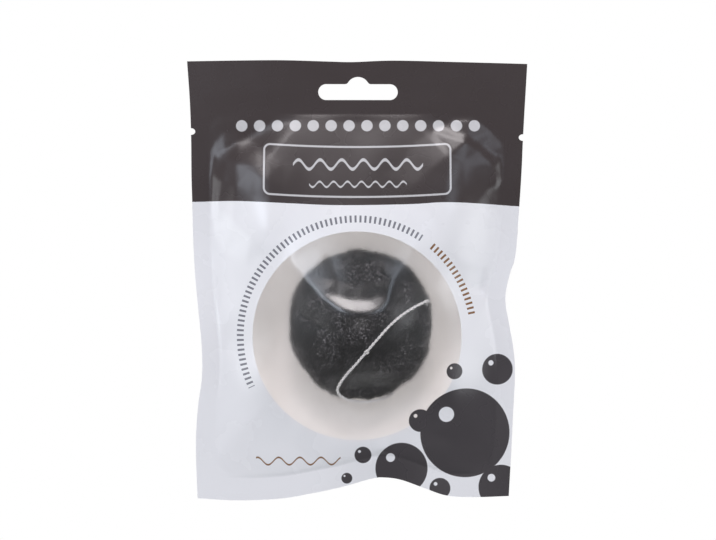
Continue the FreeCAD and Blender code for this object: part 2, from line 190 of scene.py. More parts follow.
def tube(line, radius, sides):
    """Points and faces of a closed tube along a line in millimetres."""
    across, up = carried_frames(line)
    turns = np.linspace(0, 2 * math.pi, sides, endpoint=False)
    rings = [
        centre + radius * (np.cos(turns)[:, None] * a + np.sin(turns)[:, None] * u)
        for centre, a, u in zip(line, across, up)
    ]
    faces = []
    for i in range(len(line) - 1):
        for j in range(sides):
            k = (j + 1) % sides
            faces.append((i * sides + j, i * sides + k, (i + 1) * sides + k, (i + 1) * sides + j))
    last = (len(line) - 1) * sides
    faces.append(tuple(range(sides))[::-1])
    faces.append(tuple(last + j for j in range(sides)))
    return np.vstack(rings), faces


def twisted_strands(name, line, material):
    """Two strands twisted round a line in millimetres, as one mesh."""
    across, up = carried_frames(line)
    travelled = np.concatenate([[0], np.cumsum(np.linalg.norm(np.diff(line, axis=0), axis=1))])
    points, faces = [], []
    for start in (0, math.pi):
        turn = start + 2 * math.pi * travelled / TWIST_PITCH
        offset = np.cos(turn)[:, None] * across + np.sin(turn)[:, None] * up
        strand_points, strand_faces = tube(line + STRAND_OFFSET * offset, STRAND_RADIUS, STRAND_SIDES)
        base = sum(len(p) for p in points)
        points.append(strand_points)
        faces.extend(tuple(i + base for i in face) for face in strand_faces)
    return link_mesh(name, np.vstack(points), faces, [material])


def trefoil(middle, axis, size):
    """A small overhand knot's centreline about an axis, in millimetres."""
    t = np.linspace(0, 2 * math.pi, KNOT_POINTS)
    local = np.column_stack([
        np.sin(t) + KNOT_LOBE * np.sin(2 * t),
        np.cos(t) - KNOT_LOBE * np.cos(2 * t),
        -KNOT_DEPTH * np.sin(3 * t),
    ])
    turn = Vector((0, 0, 1)).rotation_difference(axis).to_matrix()
    return np.array([tuple(turn @ Vector(p)) for p in local * size / (1 + KNOT_LOBE)]) + middle


route = [SPONGE_CENTRE + Vector(p) for p in CORD_ROUTE]
cord_line = spline_points(route, SPLINE_STEPS)
cord_line_mm = np.array([tuple(p) for p in cord_line]) / MM


def make_cord(material):
    """The loop's free stretch, its knot and the stitch inside the sponge."""
    cord = twisted_strands("hang_cord_yarn", cord_line_mm, material)
    stitch_line = spline_points([route[-1], (route[-1] + route[0]) / 2, route[0]], SPLINE_STEPS)
    stitch = twisted_strands("cord_stitch_yarn", np.array([tuple(p) for p in stitch_line]) / MM, material)
    before, after = route[KNOT_RUN_START], route[KNOT_RUN_START + 1]
    middle = np.array((before + after) / 2) / MM
    centre = cord_line_mm[np.argmin(np.linalg.norm(cord_line_mm - middle, axis=1))]
    knot_line = trefoil(centre, (after - before).normalized(), KNOT_SIZE)
    knot_points, knot_faces = tube(knot_line, STRAND_RADIUS, STRAND_SIDES)
    knot = link_mesh("cord_knot_yarn", knot_points, knot_faces, [material])
    for piece, node in ((cord, "hang_cord"), (stitch, "cord_stitch"), (knot, "cord_knot")):
        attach(piece, "sponge")
        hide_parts(node)


# Film pouch: outline, welds and print zones, as curves in the XZ plane


LEFT_EDGE = [
    (-68.8, 12.4), (-67.7, -3.5), (-67.2, -17.0), (-67.0, -32.9), (-66.7, -44.2), (-66.4, -58.0),
    (-65.6, -74.0), (-64.0, -90.0), (-62.8, -103.0), (-62.8, -115.0), (-64.3, -126.0),
    (-65.2, -138.0), (-65.2, -149.0), (-64.6, -163.5),
]
RIGHT_EDGE = [
    (68.1, 11.3), (66.5, -16.9), (65.9, -30.0), (64.9, -46.0), (63.5, -65.1), (61.2, -73.0),
    (59.6, -80.0), (59.5, -86.0), (60.9, -94.0), (62.6, -104.0), (63.1, -114.0), (62.4, -130.0),
    (61.6, -147.0), (60.7, -162.6),
]
TOP_EDGE = [
    (-68.8, 12.4), (-48.0, 12.7), (-30.0, 12.8), (-12.0, 12.3), (-2.0, 12.1), (14.5, 12.7),
    (40.0, 12.1), (68.1, 11.3),
]
BOTTOM_EDGE = [
    (-64.6, -163.5), (-48.7, -164.3), (-31.4, -163.6), (-18.0, -161.4), (-6.0, -158.9), (5.7, -155.7),
    (10.8, -155.3), (17.3, -156.2), (26.5, -159.4), (35.7, -162.4), (47.3, -163.0), (60.7, -162.6),
]
# Where the dark print ends and the white print begins
BAND_FOOT = [
    (-70.0, -44.2), (-66.7, -44.2), (-48.7, -44.0), (-25.4, -45.1), (-6.8, -45.8), (19.7, -45.4),
    (33.8, -44.6), (47.5, -44.9), (64.8, -46.0), (68.0, -46.2),
]
TEAR_LINE = [(-72.0, -15.8), (0.0, -17.1), (72.0, -18.4)]
FILM_GAUGE = 0.15
SIDE_WELD = 6.5
BOTTOM_WELD = 8.6
WELD_FOOT = -8.4
POCKET_CORNER = 7.0
NOTCH_DEPTH = 1.75
NOTCH_HALF_HEIGHT = 1.35
NOTCH_POINTS = 11
WINDOW_CENTRE = (-0.4, -98.1)
WINDOW_RADIUS = 41.8
SLOT_LENGTH = 32.0
SLOT_HEIGHT = 6.4
BUMP_RISE = 6.1
BUMP_RADIUS = 4.7
BUMP_FILLET = 1.5
MESH_STEP = 0.8
CURVE_STEP = 0.7
SLOT_STEP = 0.35
ARC_STEPS_LEAST = 6
# Points nearer to each other than this are one point
SAME_POINT = 1e-5
# How near a grid point may be to a curve, as a share of the grid's step
CLEARANCE_SHARE = 0.55
# Where the grids, the lines between print zones and the foot's line start and end
GRID_X, GRID_Z = (-70, 70), (-166, 14)
LINE_X, FOOT_LINE_X = (-66.5, 66.5), (-66.5, 63.5)
# Places across the pouch where the pocket's lower corners read the bottom weld's height
LEFT_FOOT_X, RIGHT_FOOT_X = -58.0, 54.0

left_line = smooth_line(LEFT_EDGE, CURVE_STEP)
right_line = smooth_line(RIGHT_EDGE, CURVE_STEP)
top_line = smooth_line(TOP_EDGE, CURVE_STEP)
bottom_line = smooth_line(BOTTOM_EDGE, CURVE_STEP)
band_line = smooth_line(BAND_FOOT, CURVE_STEP)


def left_weld_x(z):
    """The left weld's inner line at a height."""
    return np.interp(-z, -left_line[:, 1], left_line[:, 0]) + SIDE_WELD


def right_weld_x(z):
    """The right weld's inner line at a height."""
    return np.interp(-z, -right_line[:, 1], right_line[:, 0]) - SIDE_WELD


def bottom_weld_z(x):
    """The bottom weld's upper line across the pouch."""
    return np.interp(x, bottom_line[:, 0], bottom_line[:, 1]) + BOTTOM_WELD


def tear_z(x):
    """The tear line's height across the pouch."""
    return np.interp(x, [p[0] for p in TEAR_LINE], [p[1] for p in TEAR_LINE])


def band_z(x):
    """The dark print's lower edge across the pouch."""
    return np.interp(x, band_line[:, 0], band_line[:, 1])


def notched(line, side):
    """An edge with the round tear notch cut into it, from the top down."""
    middle = tear_z(line[np.argmin(abs(line[:, 1] - TEAR_LINE[1][1])), 0])
    above = line[line[:, 1] > middle + NOTCH_HALF_HEIGHT]
    below = line[line[:, 1] < middle - NOTCH_HALF_HEIGHT]
    angles = np.linspace(math.pi / 2, -math.pi / 2, NOTCH_POINTS)
    edge_x = np.interp(-middle, -line[:, 1], line[:, 0])
    notch = np.column_stack(
        [edge_x - side * NOTCH_DEPTH * np.cos(angles), middle + NOTCH_HALF_HEIGHT * np.sin(angles)]
    )
    return np.vstack([above, notch, below])


def pouch_outline():
    """The pouch's outline as a closed ring of points."""
    left = notched(left_line, -1)[::-1]
    right = notched(right_line, 1)
    return np.vstack([top_line[:-1], right[:-1], bottom_line[::-1][:-1], left[:-1]])


def arc(centre, radius, start, end, step=CURVE_STEP):
    """Points on an arc, angles in radians from +X towards +Z."""
    count = max(ARC_STEPS_LEAST, math.ceil(abs(end - start) * radius / step))
    angles = np.linspace(start, end, count + 1)
    return np.column_stack([centre[0] + radius * np.cos(angles), centre[1] + radius * np.sin(angles)])


def slot_outline():
    """The hanging slot: a long slot with a round bump on top, blended by small fillets."""
    radius = SLOT_HEIGHT / 2
    reach = SLOT_LENGTH / 2 - radius
    bump_centre = BUMP_RISE - BUMP_RADIUS
    fillet_z = radius + BUMP_FILLET
    fillet_x = math.sqrt((BUMP_RADIUS + BUMP_FILLET) ** 2 - (fillet_z - bump_centre) ** 2)
    lean = math.atan2(fillet_z - bump_centre, fillet_x)
    quarter = math.pi / 2
    return np.vstack([
        arc((reach, 0), radius, -quarter, quarter, SLOT_STEP),
        arc((fillet_x, fillet_z), BUMP_FILLET, -quarter, -math.pi + lean, SLOT_STEP),
        arc((0, bump_centre), BUMP_RADIUS, lean, math.pi - lean, SLOT_STEP)[1:-1],
        arc((-fillet_x, fillet_z), BUMP_FILLET, -lean, -quarter, SLOT_STEP),
        arc((-reach, 0), radius, quarter, 3 * quarter, SLOT_STEP),
    ])


def pocket_outline():
    """The unwelded pocket's outline, with rounded corners."""
    r = POCKET_CORNER
    left_top, right_top = left_weld_x(WELD_FOOT), right_weld_x(WELD_FOOT)
    left_foot_z = bottom_weld_z(LEFT_FOOT_X)
    right_foot_z = bottom_weld_z(RIGHT_FOOT_X)
    left_z = np.arange(left_foot_z + r, WELD_FOOT - r, CURVE_STEP)
    right_z = np.arange(WELD_FOOT - r, right_foot_z + r, -CURVE_STEP)
    left_foot, right_foot = left_weld_x(left_foot_z), right_weld_x(right_foot_z)
    foot_x = np.arange(right_foot - r, left_foot + r, -CURVE_STEP)
    top_x = np.arange(left_top + r, right_top - r, CURVE_STEP)
    quarter = math.pi / 2
    return np.vstack([
        np.column_stack([top_x, np.full(len(top_x), WELD_FOOT)]),
        arc((right_top - r, WELD_FOOT - r), r, quarter, 0),
        np.column_stack([right_weld_x(right_z), right_z]),
        arc((right_foot - r, right_foot_z + r), r, 0, -quarter),
        np.column_stack([foot_x, bottom_weld_z(foot_x)]),
        arc((left_foot + r, left_foot_z + r), r, -quarter, -2 * quarter),
        np.column_stack([left_weld_x(left_z), left_z]),
        arc((left_top + r, WELD_FOOT - r), r, 2 * quarter, quarter),
    ])


def inside(ring, points):
    """Which points lie inside a closed ring."""
    found = np.zeros(len(points), bool)
    ends = np.roll(ring, -1, axis=0)
    x, z = points[:, 0], points[:, 1]
    for (x0, z0), (x1, z1) in zip(ring, ends):
        if z0 == z1:
            continue
        crosses = (z0 > z) != (z1 > z)
        found ^= crosses & (x < (x1 - x0) * (z - z0) / (z1 - z0) + x0)
    return found


def staggered_grid(x_range, z_range, step):
    """Grid points over two ranges, with every other row moved by half a step."""
    xs = np.arange(*x_range, step)
    zs = np.arange(*z_range, step)
    return np.array([(x + (i % 2) * step / 2, z) for i, z in enumerate(zs) for x in xs])


def spaced_grid(rings, step):
    """Grid points over the pouch that keep clear of the curves."""
    grid = staggered_grid(GRID_X, GRID_Z, step)
    cells = {}
    for ring in rings:
        for x, z in ring:
            cells.setdefault((round(x / step), round(z / step)), []).append((x, z))
    keep = []
    for x, z in grid:
        i, j = round(x / step), round(z / step)
        near = [p for a in (-1, 0, 1) for b in (-1, 0, 1) for p in cells.get((i + a, j + b), ())]
        keep.append(all((x - px) ** 2 + (z - pz) ** 2 > (CLEARANCE_SHARE * step) ** 2 for px, pz in near))
    return grid[np.array(keep)]


def triangulate_pouch():
    """Triangles of the flat pouch whose edges follow every zone's border."""
    outline, slot, pocket = pouch_outline(), slot_outline(), pocket_outline()
    window = arc(WINDOW_CENTRE, WINDOW_RADIUS, 0, 2 * math.pi)[:-1]
    xs = np.arange(*LINE_X, CURVE_STEP)
    foot_xs = np.arange(*FOOT_LINE_X, CURVE_STEP)
    tear = np.column_stack([xs, tear_z(xs)])
    band = np.column_stack([xs, band_z(xs)])
    foot = np.column_stack([foot_xs, bottom_weld_z(foot_xs)])
    closed = [outline, slot, pocket, window]
    opened = [tear, band, foot]
    points, edges = [], []
    for ring in closed + opened:
        first, count = len(points), len(ring)
        points.extend(ring.tolist())
        edges.extend((first + i, first + i + 1) for i in range(count - 1))
        if any(ring is c for c in closed):
            edges.append((first + count - 1, first))
    points.extend(spaced_grid(closed + opened, MESH_STEP).tolist())
    made = delaunay_2d_cdt([Vector(p) for p in points], edges, [], 0, SAME_POINT)
    flat = np.array([tuple(v) for v in made[0]])
    triangles = np.array(made[2])
    middle = flat[triangles].mean(axis=1)
    kept = inside(outline, middle) & ~inside(slot, middle)
    return flat, triangles[kept], middle[kept], pocket


# Film pouch: depths of the front and back films


# Depths of the films over the sponge's middle, by height
FRONT_PROFILE = [
    (-8.4, 0.0), (-11.8, 0.9), (-16.8, 2.4), (-22.7, 4.2), (-29.4, 6.2), (-37.0, 8.4), (-44.6, 10.5),
    (-52.1, 12.6), (-59.7, 14.5), (-67.3, 16.4), (-74.8, 18.3), (-81.6, 19.9), (-87.5, 21.0), (-92.5, 21.4),
    (-98.5, 21.2), (-103.7, 20.2), (-108.1, 18.4), (-113.0, 15.2), (-117.4, 11.8), (-121.7, 8.7),
    (-126.1, 6.4), (-131.1, 4.7), (-137.3, 3.2), (-144.1, 1.9), (-149.7, 0.7), (-152.0, 0.0),
]
BACK_PROFILE = [
    (-8.4, 0.0), (-11.8, 0.8), (-16.8, 2.4), (-22.7, 3.8), (-29.4, 5.1), (-37.0, 6.2), (-44.6, 7.2),
    (-52.1, 8.3), (-59.7, 9.5), (-67.3, 10.5), (-74.8, 11.4), (-81.6, 11.9), (-92.5, 12.1), (-103.7, 11.8),
    (-113.0, 10.8), (-121.7, 8.8), (-131.1, 6.1), (-137.3, 4.4), (-144.1, 2.3), (-149.7, 0.7), (-152.0, 0.0),
]
WIDEST_Z = -92.5
PROFILE_FOOT = -152.0
# How flat the front film stays across the pouch, by height: 1 is a flat middle, 0 is a tent
FLATNESS = [
    (-150.0, 0.7), (-131.0, 0.55), (-117.0, 0.4), (-104.0, 0.1), (-92.0, 0.0), (-82.0, 0.02), (-75.0, 0.08),
    (-67.0, 0.2), (-60.0, 0.4), (-52.0, 0.58), (-44.6, 0.72), (-37.0, 0.87), (-29.4, 0.97), (-22.0, 1.0),
    (0.0, 1.0),
]
BACK_FLATNESS = [(-160.0, 0.7), (0.0, 0.7)]
FLAT_EDGE = 0.42
TENT_ROUNDING = 0.25
# The flat top corners, where the two films lie together: how far in and down they reach
CORNER_REACH = 24.0
CORNER_FOOT = -30.0

# Creases: lines of (across, up, rise over the plain bulge); between them the film runs straight
FRONT_CREASES = {
    "left shoulder ridge": [
        (-53.0, -28.6, 1.5), (-48.7, -29.9, 1.9), (-43.1, -32.4, 1.4), (-37.0, -35.7, 0.8),
        (-30.2, -39.0, 0.3), (-21.0, -42.2, 0.1),
    ],
    "left shoulder side": [(-53.0, -28.6, 1.5), (-54.5, -36.0, 2.2), (-56.5, -46.5, 1.8)],
    "left wedge": [(-48.7, -38.0, 2.5), (-43.0, -41.0, 1.2), (-37.0, -43.5, 0.3)],
    "left panel crease": [
        (-56.5, -46.5, 1.8), (-50.0, -52.5, 2.1), (-43.0, -57.8, 1.4), (-36.6, -62.7, 0.7),
        (-30.0, -68.5, 0.3),
    ],
    "right shoulder ridge": [
        (43.1, -20.4, 2.9), (37.0, -25.3, 0.8), (29.0, -31.7, 0.5), (22.5, -37.8, 0.5), (17.0, -43.5, 0.3),
    ],
    "right shoulder side": [(43.1, -20.4, 2.9), (49.1, -23.9, 1.6), (53.6, -29.3, 1.6), (56.4, -36.0, 1.6)],
    "right facet line": [(43.1, -20.4, 2.9), (42.7, -28.0, 0.5), (42.2, -36.0, 0.2)],
    "right band crease": [
        (56.4, -36.0, 1.6), (51.1, -40.2, 1.2), (47.1, -46.2, 0.8), (43.1, -55.9, 0.5), (35.5, -63.0, 0.2),
    ],
    "window ridge": [
        (-26.5, -68.0, 0.9), (-21.3, -73.8, 1.2), (-14.9, -81.6, 1.5), (-6.8, -86.9, 1.8), (-1.0, -88.9, 1.8),
        (5.0, -88.8, 1.8), (9.5, -87.2, 1.7), (11.8, -84.0, 1.4), (12.5, -80.8, 1.2), (14.1, -74.8, 1.0),
        (18.5, -68.3, 0.9), (22.5, -62.3, 0.8), (24.8, -54.5, 0.6), (29.0, -48.8, 0.3),
    ],
    "crest foot": [(-8.0, -81.4, 0.1), (-3.0, -83.2, -0.1), (4.0, -83.4, -0.1), (8.0, -81.4, 0.0)],
    "window hollow": [(-8.0, -75.5, -0.5), (0.0, -77.5, -0.7), (6.5, -75.5, -0.6), (5.0, -68.0, -0.4)],
    "right dent": [(31.0, -80.0, -0.3), (42.0, -79.0, -1.2), (49.5, -79.5, -1.4)],
    "foot lift": [(10.5, -145.0, 1.0), (8.5, -138.5, 0.6)],
    "foot crumple": [(-5.0, -130.8, 0.2), (1.5, -132.6, 0.7), (8.0, -131.2, 0.7), (15.5, -133.8, 0.2)],
    "lower foot crumple": [(1.0, -136.8, 0.2), (7.0, -134.9, 0.6), (13.5, -136.6, 0.2)],
    "window foot crease": [(-27.0, -129.0, 0.2), (-21.0, -134.0, 0.9), (-13.0, -139.0, 0.2)],
    "left foot fold": [(-54.0, -143.5, 0.5), (-47.0, -135.5, 0.8), (-38.0, -126.5, 0.6)],
    "right foot fold": [(51.0, -142.0, 0.5), (45.0, -133.0, 0.8), (38.0, -124.0, 0.4)],
    "left dent": [(-52.0, -100.5, -0.8), (-43.0, -101.0, -0.8), (-34.0, -103.5, -0.2)],
}
BACK_CREASES = {
    "left shoulder": [(-50.0, -24.0, 0.7), (-41.0, -34.0, 1.4), (-30.0, -45.0, 1.2), (-20.0, -58.0, 0.3)],
    "right shoulder": [(49.0, -23.0, 0.7), (40.0, -32.0, 1.3), (31.0, -45.0, 1.1), (23.0, -57.0, 0.3)],
    "left foot": [(-53.0, -144.0, 0.4), (-43.0, -135.0, 1.0), (-30.0, -124.0, 0.3)],
    "right foot": [(50.0, -144.0, 0.4), (41.0, -133.0, 1.1), (29.0, -122.0, 0.3)],
    "left dent": [(-53.0, -100.0, -1.0), (-44.0, -101.0, -0.8), (-35.0, -99.0, -0.2)],
    "right dent": [(48.0, -82.0, -1.0), (42.0, -83.0, -0.8), (34.0, -86.0, -0.2)],
}
# The film keeps its plain bulge at the pocket's rim and at points of a grid: those further than the
# reach from every crease, and than the margin from the rim
PLAIN_REACH = 9.0
PLAIN_SPACING = 6.0
PLAIN_X, PLAIN_Z = (-66, 66), (-160, -8)
PLAIN_MARGIN = 0.5
RIM_STRIDE = 6
SAME_CREASE_POINT = 1e-4
EMPTY_AREA = 1e-9
CREASE_GRID = 0.4
CREASE_SOFTNESS = 0.75
SLACK_MARGIN = 4.0
RIM_ROUNDING = 1.5
PROFILE_STEP = 1.0
CRINKLE_WAVES = 26
CRINKLE_LENGTHS = (16.0, 45.0)
CRINKLE_HEIGHT = 0.07
CRINKLE_SEED = 11
BACK_CRINKLE_SHIFT = 2.1
# How the welds sway: the curl of the foot, the sides and the header
FOOT_CURL_HEIGHT = 3.0
FOOT_CURL_X, FOOT_CURL_WIDTH = 10, 19
FOOT_CURL_TOP, FOOT_CURL_RUN = -142, 20
SIDE_SWAY_HEIGHT = 1.1
SIDE_SWAY_PACE, SIDE_SWAY_PHASE = 13, 0.6
SIDE_SWAY_REACH, SIDE_SWAY_POWER = 66, 5
SIDE_SWAY_TOP, SIDE_SWAY_RUN = -20, 25
HEADER_SWAY_HEIGHT = 0.35
HEADER_SWAY_PACE, HEADER_SWAY_PHASE = 17, 0.4
HEADER_SWAY_FOOT, HEADER_SWAY_RUN = -8, 10


def wave_set(seed, count, shortest, longest):
    """Random plane waves: (across, up, phase) for each."""
    draw = np.random.default_rng(seed)
    lengths = np.exp(draw.uniform(math.log(shortest), math.log(longest), count))
    turns = draw.uniform(0, math.pi, count)
    pace = 2 * math.pi / lengths
    phases = draw.uniform(0, 2 * math.pi, count)
    return np.column_stack([pace * np.cos(turns), pace * np.sin(turns), phases])


front_line = smooth_line(FRONT_PROFILE, PROFILE_STEP)
back_line = smooth_line(BACK_PROFILE, PROFILE_STEP)
flatness_line = smooth_line(FLATNESS, PROFILE_STEP)
crinkle_waves = wave_set(CRINKLE_SEED, CRINKLE_WAVES, *CRINKLE_LENGTHS)


def crinkle(x, z, shift):
    """Slight slack of the film, from plane waves."""
    total = np.zeros_like(x)
    for across, up, phase in crinkle_waves:
        total += np.sin(across * x + up * z + phase + shift)
    return CRINKLE_HEIGHT * total / math.sqrt(CRINKLE_WAVES / 2)


def pocket_margin(x, z):
    """How far inside the pocket's rounded outline a place is, at least 0."""
    sides = np.minimum(x - left_weld_x(z), right_weld_x(z) - x)
    ends = np.minimum(WELD_FOOT - z, z - bottom_weld_z(x))
    straight = np.minimum(sides, ends)
    in_corner = (sides < POCKET_CORNER) & (ends < POCKET_CORNER)
    rounded = POCKET_CORNER - np.hypot(POCKET_CORNER - sides, POCKET_CORNER - ends)
    return np.maximum(np.where(in_corner, rounded, straight), 0)


def distance_to_line(line, x, z):
    """The least distance from each place to a line of points in the XZ plane."""
    nearest = np.full(np.shape(x), np.inf)
    for start, end in zip(line, line[1:]):
        run = end - start
        share = np.clip(((x - start[0]) * run[0] + (z - start[1]) * run[1]) / (run @ run), 0, 1)
        nearest = np.minimum(nearest, np.hypot(x - start[0] - share * run[0], z - start[1] - share * run[1]))
    return nearest


def crease_net(creases):
    """Triangles over the pocket whose edges run along the creases: places, rises and triangles."""
    places, rises, edges = [], [], []
    for crease in creases.values():
        first = len(places)
        for x, z, rise in crease:
            places.append((x, z))
            rises.append(rise)
        edges.extend((first + i, first + i + 1) for i in range(len(crease) - 1))
    grid = staggered_grid(PLAIN_X, PLAIN_Z, PLAIN_SPACING)
    clear = pocket_margin(grid[:, 0], grid[:, 1]) > PLAIN_MARGIN
    for crease in creases.values():
        line = np.array(crease)[:, :2]
        clear &= distance_to_line(line, grid[:, 0], grid[:, 1]) > PLAIN_REACH
    rim = pocket_outline()[::RIM_STRIDE]
    for x, z in [*grid[clear], *rim]:
        places.append((x, z))
        rises.append(0.0)
    made = delaunay_2d_cdt([Vector(p) for p in places], edges, [], 0, SAME_CREASE_POINT)
    flat = np.array([tuple(v) for v in made[0]])
    found = [[rises[i] for i in origin] for origin in made[3]]
    missing = [tuple(flat[i]) for i, values in enumerate(found) if not values]
    if missing:
        raise ValueError(f"creases cross at {missing}")
    return flat, np.array([max(values, key=abs) for values in found]), np.array(made[2])


def softened(field):
    """A field on the crease grid, smoothed so that each crease is rounded."""
    reach = math.ceil(3 * CREASE_SOFTNESS / CREASE_GRID)
    steps = np.arange(-reach, reach + 1) * CREASE_GRID / CREASE_SOFTNESS
    weights = np.exp(-(steps**2) / 2)
    weights /= weights.sum()
    for axis in (0, 1):
        field = np.apply_along_axis(np.convolve, axis, field, weights, mode="same")
    return field


def crease_field(creases):
    """The creases' rise on a fine grid over the pouch, and the grid's two axes."""
    flat, rises, triangles = crease_net(creases)
    xs = np.arange(*GRID_X, CREASE_GRID)
    zs = np.arange(*GRID_Z, CREASE_GRID)
    field = np.zeros((len(xs), len(zs)))
    for triangle in triangles:
        (ax, az), (bx, bz), (cx, cz) = flat[triangle]
        across = slice(np.searchsorted(xs, min(ax, bx, cx)), np.searchsorted(xs, max(ax, bx, cx), "right"))
        up = slice(np.searchsorted(zs, min(az, bz, cz)), np.searchsorted(zs, max(az, bz, cz), "right"))
        x, z = np.meshgrid(xs[across], zs[up], indexing="ij")
        area = (bx - ax) * (cz - az) - (cx - ax) * (bz - az)
        if abs(area) < EMPTY_AREA:
            continue
        share_b = ((x - ax) * (cz - az) - (cx - ax) * (z - az)) / area
        share_c = ((bx - ax) * (z - az) - (x - ax) * (bz - az)) / area
        share_a = 1 - share_b - share_c
        within = (share_a >= 0) & (share_b >= 0) & (share_c >= 0)
        a, b, c = rises[triangle]
        field[across, up] = np.where(within, a * share_a + b * share_b + c * share_c, field[across, up])
    return softened(field), xs, zs


def read_field(field_and_axes, x, z):
    """A field's value at places between its grid's points."""
    field, xs, zs = field_and_axes
    i = np.clip((x - xs[0]) / CREASE_GRID, 0, len(xs) - 2)
    j = np.clip((z - zs[0]) / CREASE_GRID, 0, len(zs) - 2)
    i0, j0 = i.astype(int), j.astype(int)
    u, v = i - i0, j - j0
    low = field[i0, j0] * (1 - u) + field[i0 + 1, j0] * u
    high = field[i0, j0 + 1] * (1 - u) + field[i0 + 1, j0 + 1] * u
    return low * (1 - v) + high * v


front_creases = crease_field(FRONT_CREASES)
back_creases = crease_field(BACK_CREASES)


def by_height(line, z):
    """A value read from a line of (height, value) points."""
    order = np.argsort(line[:, 0])
    return np.interp(z, line[order, 0], line[order, 1])


def across_share(x, z, flatness):
    """A film's depth across the pouch as a share of its depth over the sponge's middle."""
    inset = CORNER_REACH * smooth_step((z - CORNER_FOOT) / (WELD_FOOT - CORNER_FOOT))
    peak = SPONGE_MIDDLE_X
    reach = np.where(x < peak, peak - left_weld_x(z), right_weld_x(z) - peak) - inset
    share = np.clip(abs(x - peak) / reach, 0, 1)
    full = math.hypot(1, TENT_ROUNDING)
    tent = (full - np.hypot(share, TENT_ROUNDING)) / (full - TENT_ROUNDING)
    return flatness * smooth_step((1 - share) / FLAT_EDGE) + (1 - flatness) * tent


def film_depth(x, z, profile, flatness, creases, shift):
    """A film's distance from the pouch's middle sheet."""
    stretch = (WIDEST_Z - PROFILE_FOOT) / (WIDEST_Z - bottom_weld_z(x))
    height = np.where(z < WIDEST_Z, WIDEST_Z - (WIDEST_Z - z) * stretch, z)
    bulge = by_height(profile, height) * across_share(x, z, by_height(flatness, z))
    slack = crinkle(x, z, shift) + read_field(creases, x, z)
    margin = pocket_margin(x, z)
    depth = np.maximum(bulge + slack * smooth_step(margin / SLACK_MARGIN), 0)
    return depth * smooth_step(margin / RIM_ROUNDING)


def middle_sheet(x, z):
    """The middle sheet's depth behind the frame's plane: the welds sway a little."""
    curl = FOOT_CURL_HEIGHT * np.exp(-(((x - FOOT_CURL_X) / FOOT_CURL_WIDTH) ** 2))
    foot_curl = curl * smooth_step((FOOT_CURL_TOP - z) / FOOT_CURL_RUN)
    side_wave = SIDE_SWAY_HEIGHT * np.sin(z / SIDE_SWAY_PACE + SIDE_SWAY_PHASE)
    at_side = np.clip(abs(x) / SIDE_SWAY_REACH, 0, 1) ** SIDE_SWAY_POWER
    side_sway = side_wave * at_side * smooth_step((SIDE_SWAY_TOP - z) / SIDE_SWAY_RUN)
    header_wave = HEADER_SWAY_HEIGHT * np.sin(x / HEADER_SWAY_PACE + HEADER_SWAY_PHASE)
    header_sway = header_wave * smooth_step((z - HEADER_SWAY_FOOT) / HEADER_SWAY_RUN)
    return foot_curl + side_sway + header_sway


def front_face(x, z):
    """The front film's inner face."""
    return middle_sheet(x, z) - film_depth(x, z, front_line, flatness_line, front_creases, 0.0)


def back_face(x, z):
    """The back film's inner face."""
    depth = film_depth(x, z, back_line, np.array(BACK_FLATNESS), back_creases, BACK_CRINKLE_SHIFT)
    return middle_sheet(x, z) + depth


NORMAL_REACH = 0.4


def face_normals(face, x, z):
    """A face's normals towards the front, by small differences."""
    reach = NORMAL_REACH
    slope_x = (face(x + reach, z) - face(x - reach, z)) / (2 * reach)
    slope_z = (face(x, z + reach) - face(x, z - reach)) / (2 * reach)
    normals = np.column_stack([slope_x, np.full(len(x), -1.0), slope_z])
    return normals / np.linalg.norm(normals, axis=1, keepdims=True)


def border_edges(triangles):
    """The triangles' edges that only one of them has, in its own direction, and those triangles."""
    edges = np.vstack([triangles[:, [0, 1]], triangles[:, [1, 2]], triangles[:, [2, 0]]])
    _, index, count = np.unique(np.sort(edges, axis=1), axis=0, return_index=True, return_counts=True)
    single = index[count == 1]
    return edges[single], single % len(triangles)


def film_piece(name, flat, triangles, near, far, kinds, finishes):
    """A closed thin shell over some of the flat pouch's triangles, between two faces.

    near and far are (face, offset): the surface towards the front and the one behind it. kinds
    gives each triangle's print, and finishes each print's (near, far) materials."""
    used, local = np.unique(triangles, return_inverse=True)
    local = local.reshape(-1, 3)
    x, z = flat[used, 0], flat[used, 1]
    count = len(used)
    near_points = np.column_stack([x, near[0](x, z) + near[1], z])
    far_points = np.column_stack([x, far[0](x, z) + far[1], z])
    near_normals = face_normals(near[0], x, z)
    far_normals = -face_normals(far[0], x, z)
    rim, owners = border_edges(local)
    walls = np.column_stack([rim[:, 1], rim[:, 0], rim[:, 0] + count, rim[:, 1] + count])
    across = flat[used][rim[:, 1]] - flat[used][rim[:, 0]]
    wall_normals = np.column_stack([across[:, 1], np.zeros(len(rim)), -across[:, 0]])
    wall_normals /= np.linalg.norm(wall_normals, axis=1, keepdims=True)
    present = sorted(set(kinds))
    materials = [finishes[kind][side] for side in (0, 1) for kind in present]
    faces = [*local.tolist(), *(local[:, ::-1] + count).tolist(), *walls.tolist()]
    piece = link_mesh(name, np.vstack([near_points, far_points]), faces, materials)
    corner_normals = np.vstack([
        near_normals[local].reshape(-1, 3),
        far_normals[local[:, ::-1]].reshape(-1, 3),
        np.repeat(wall_normals, 4, axis=0),
    ])
    piece.data.normals_split_custom_set(corner_normals.tolist())
    index = np.array([present.index(kind) for kind in kinds])
    inner = index + len(present)
    slots = np.concatenate([index, inner, inner[owners]]).astype(np.int32)
    piece.data.polygons.foreach_set("material_index", slots)
    return piece


# Materials


def put(tree, socket, value):
    """Sets a socket to a constant, or links an amount or another socket to it."""
    if isinstance(value, Amount):
        value = value.socket
    if isinstance(value, bpy.types.NodeSocket):
        tree.links.new(value, socket)
    else:
        socket.default_value = value


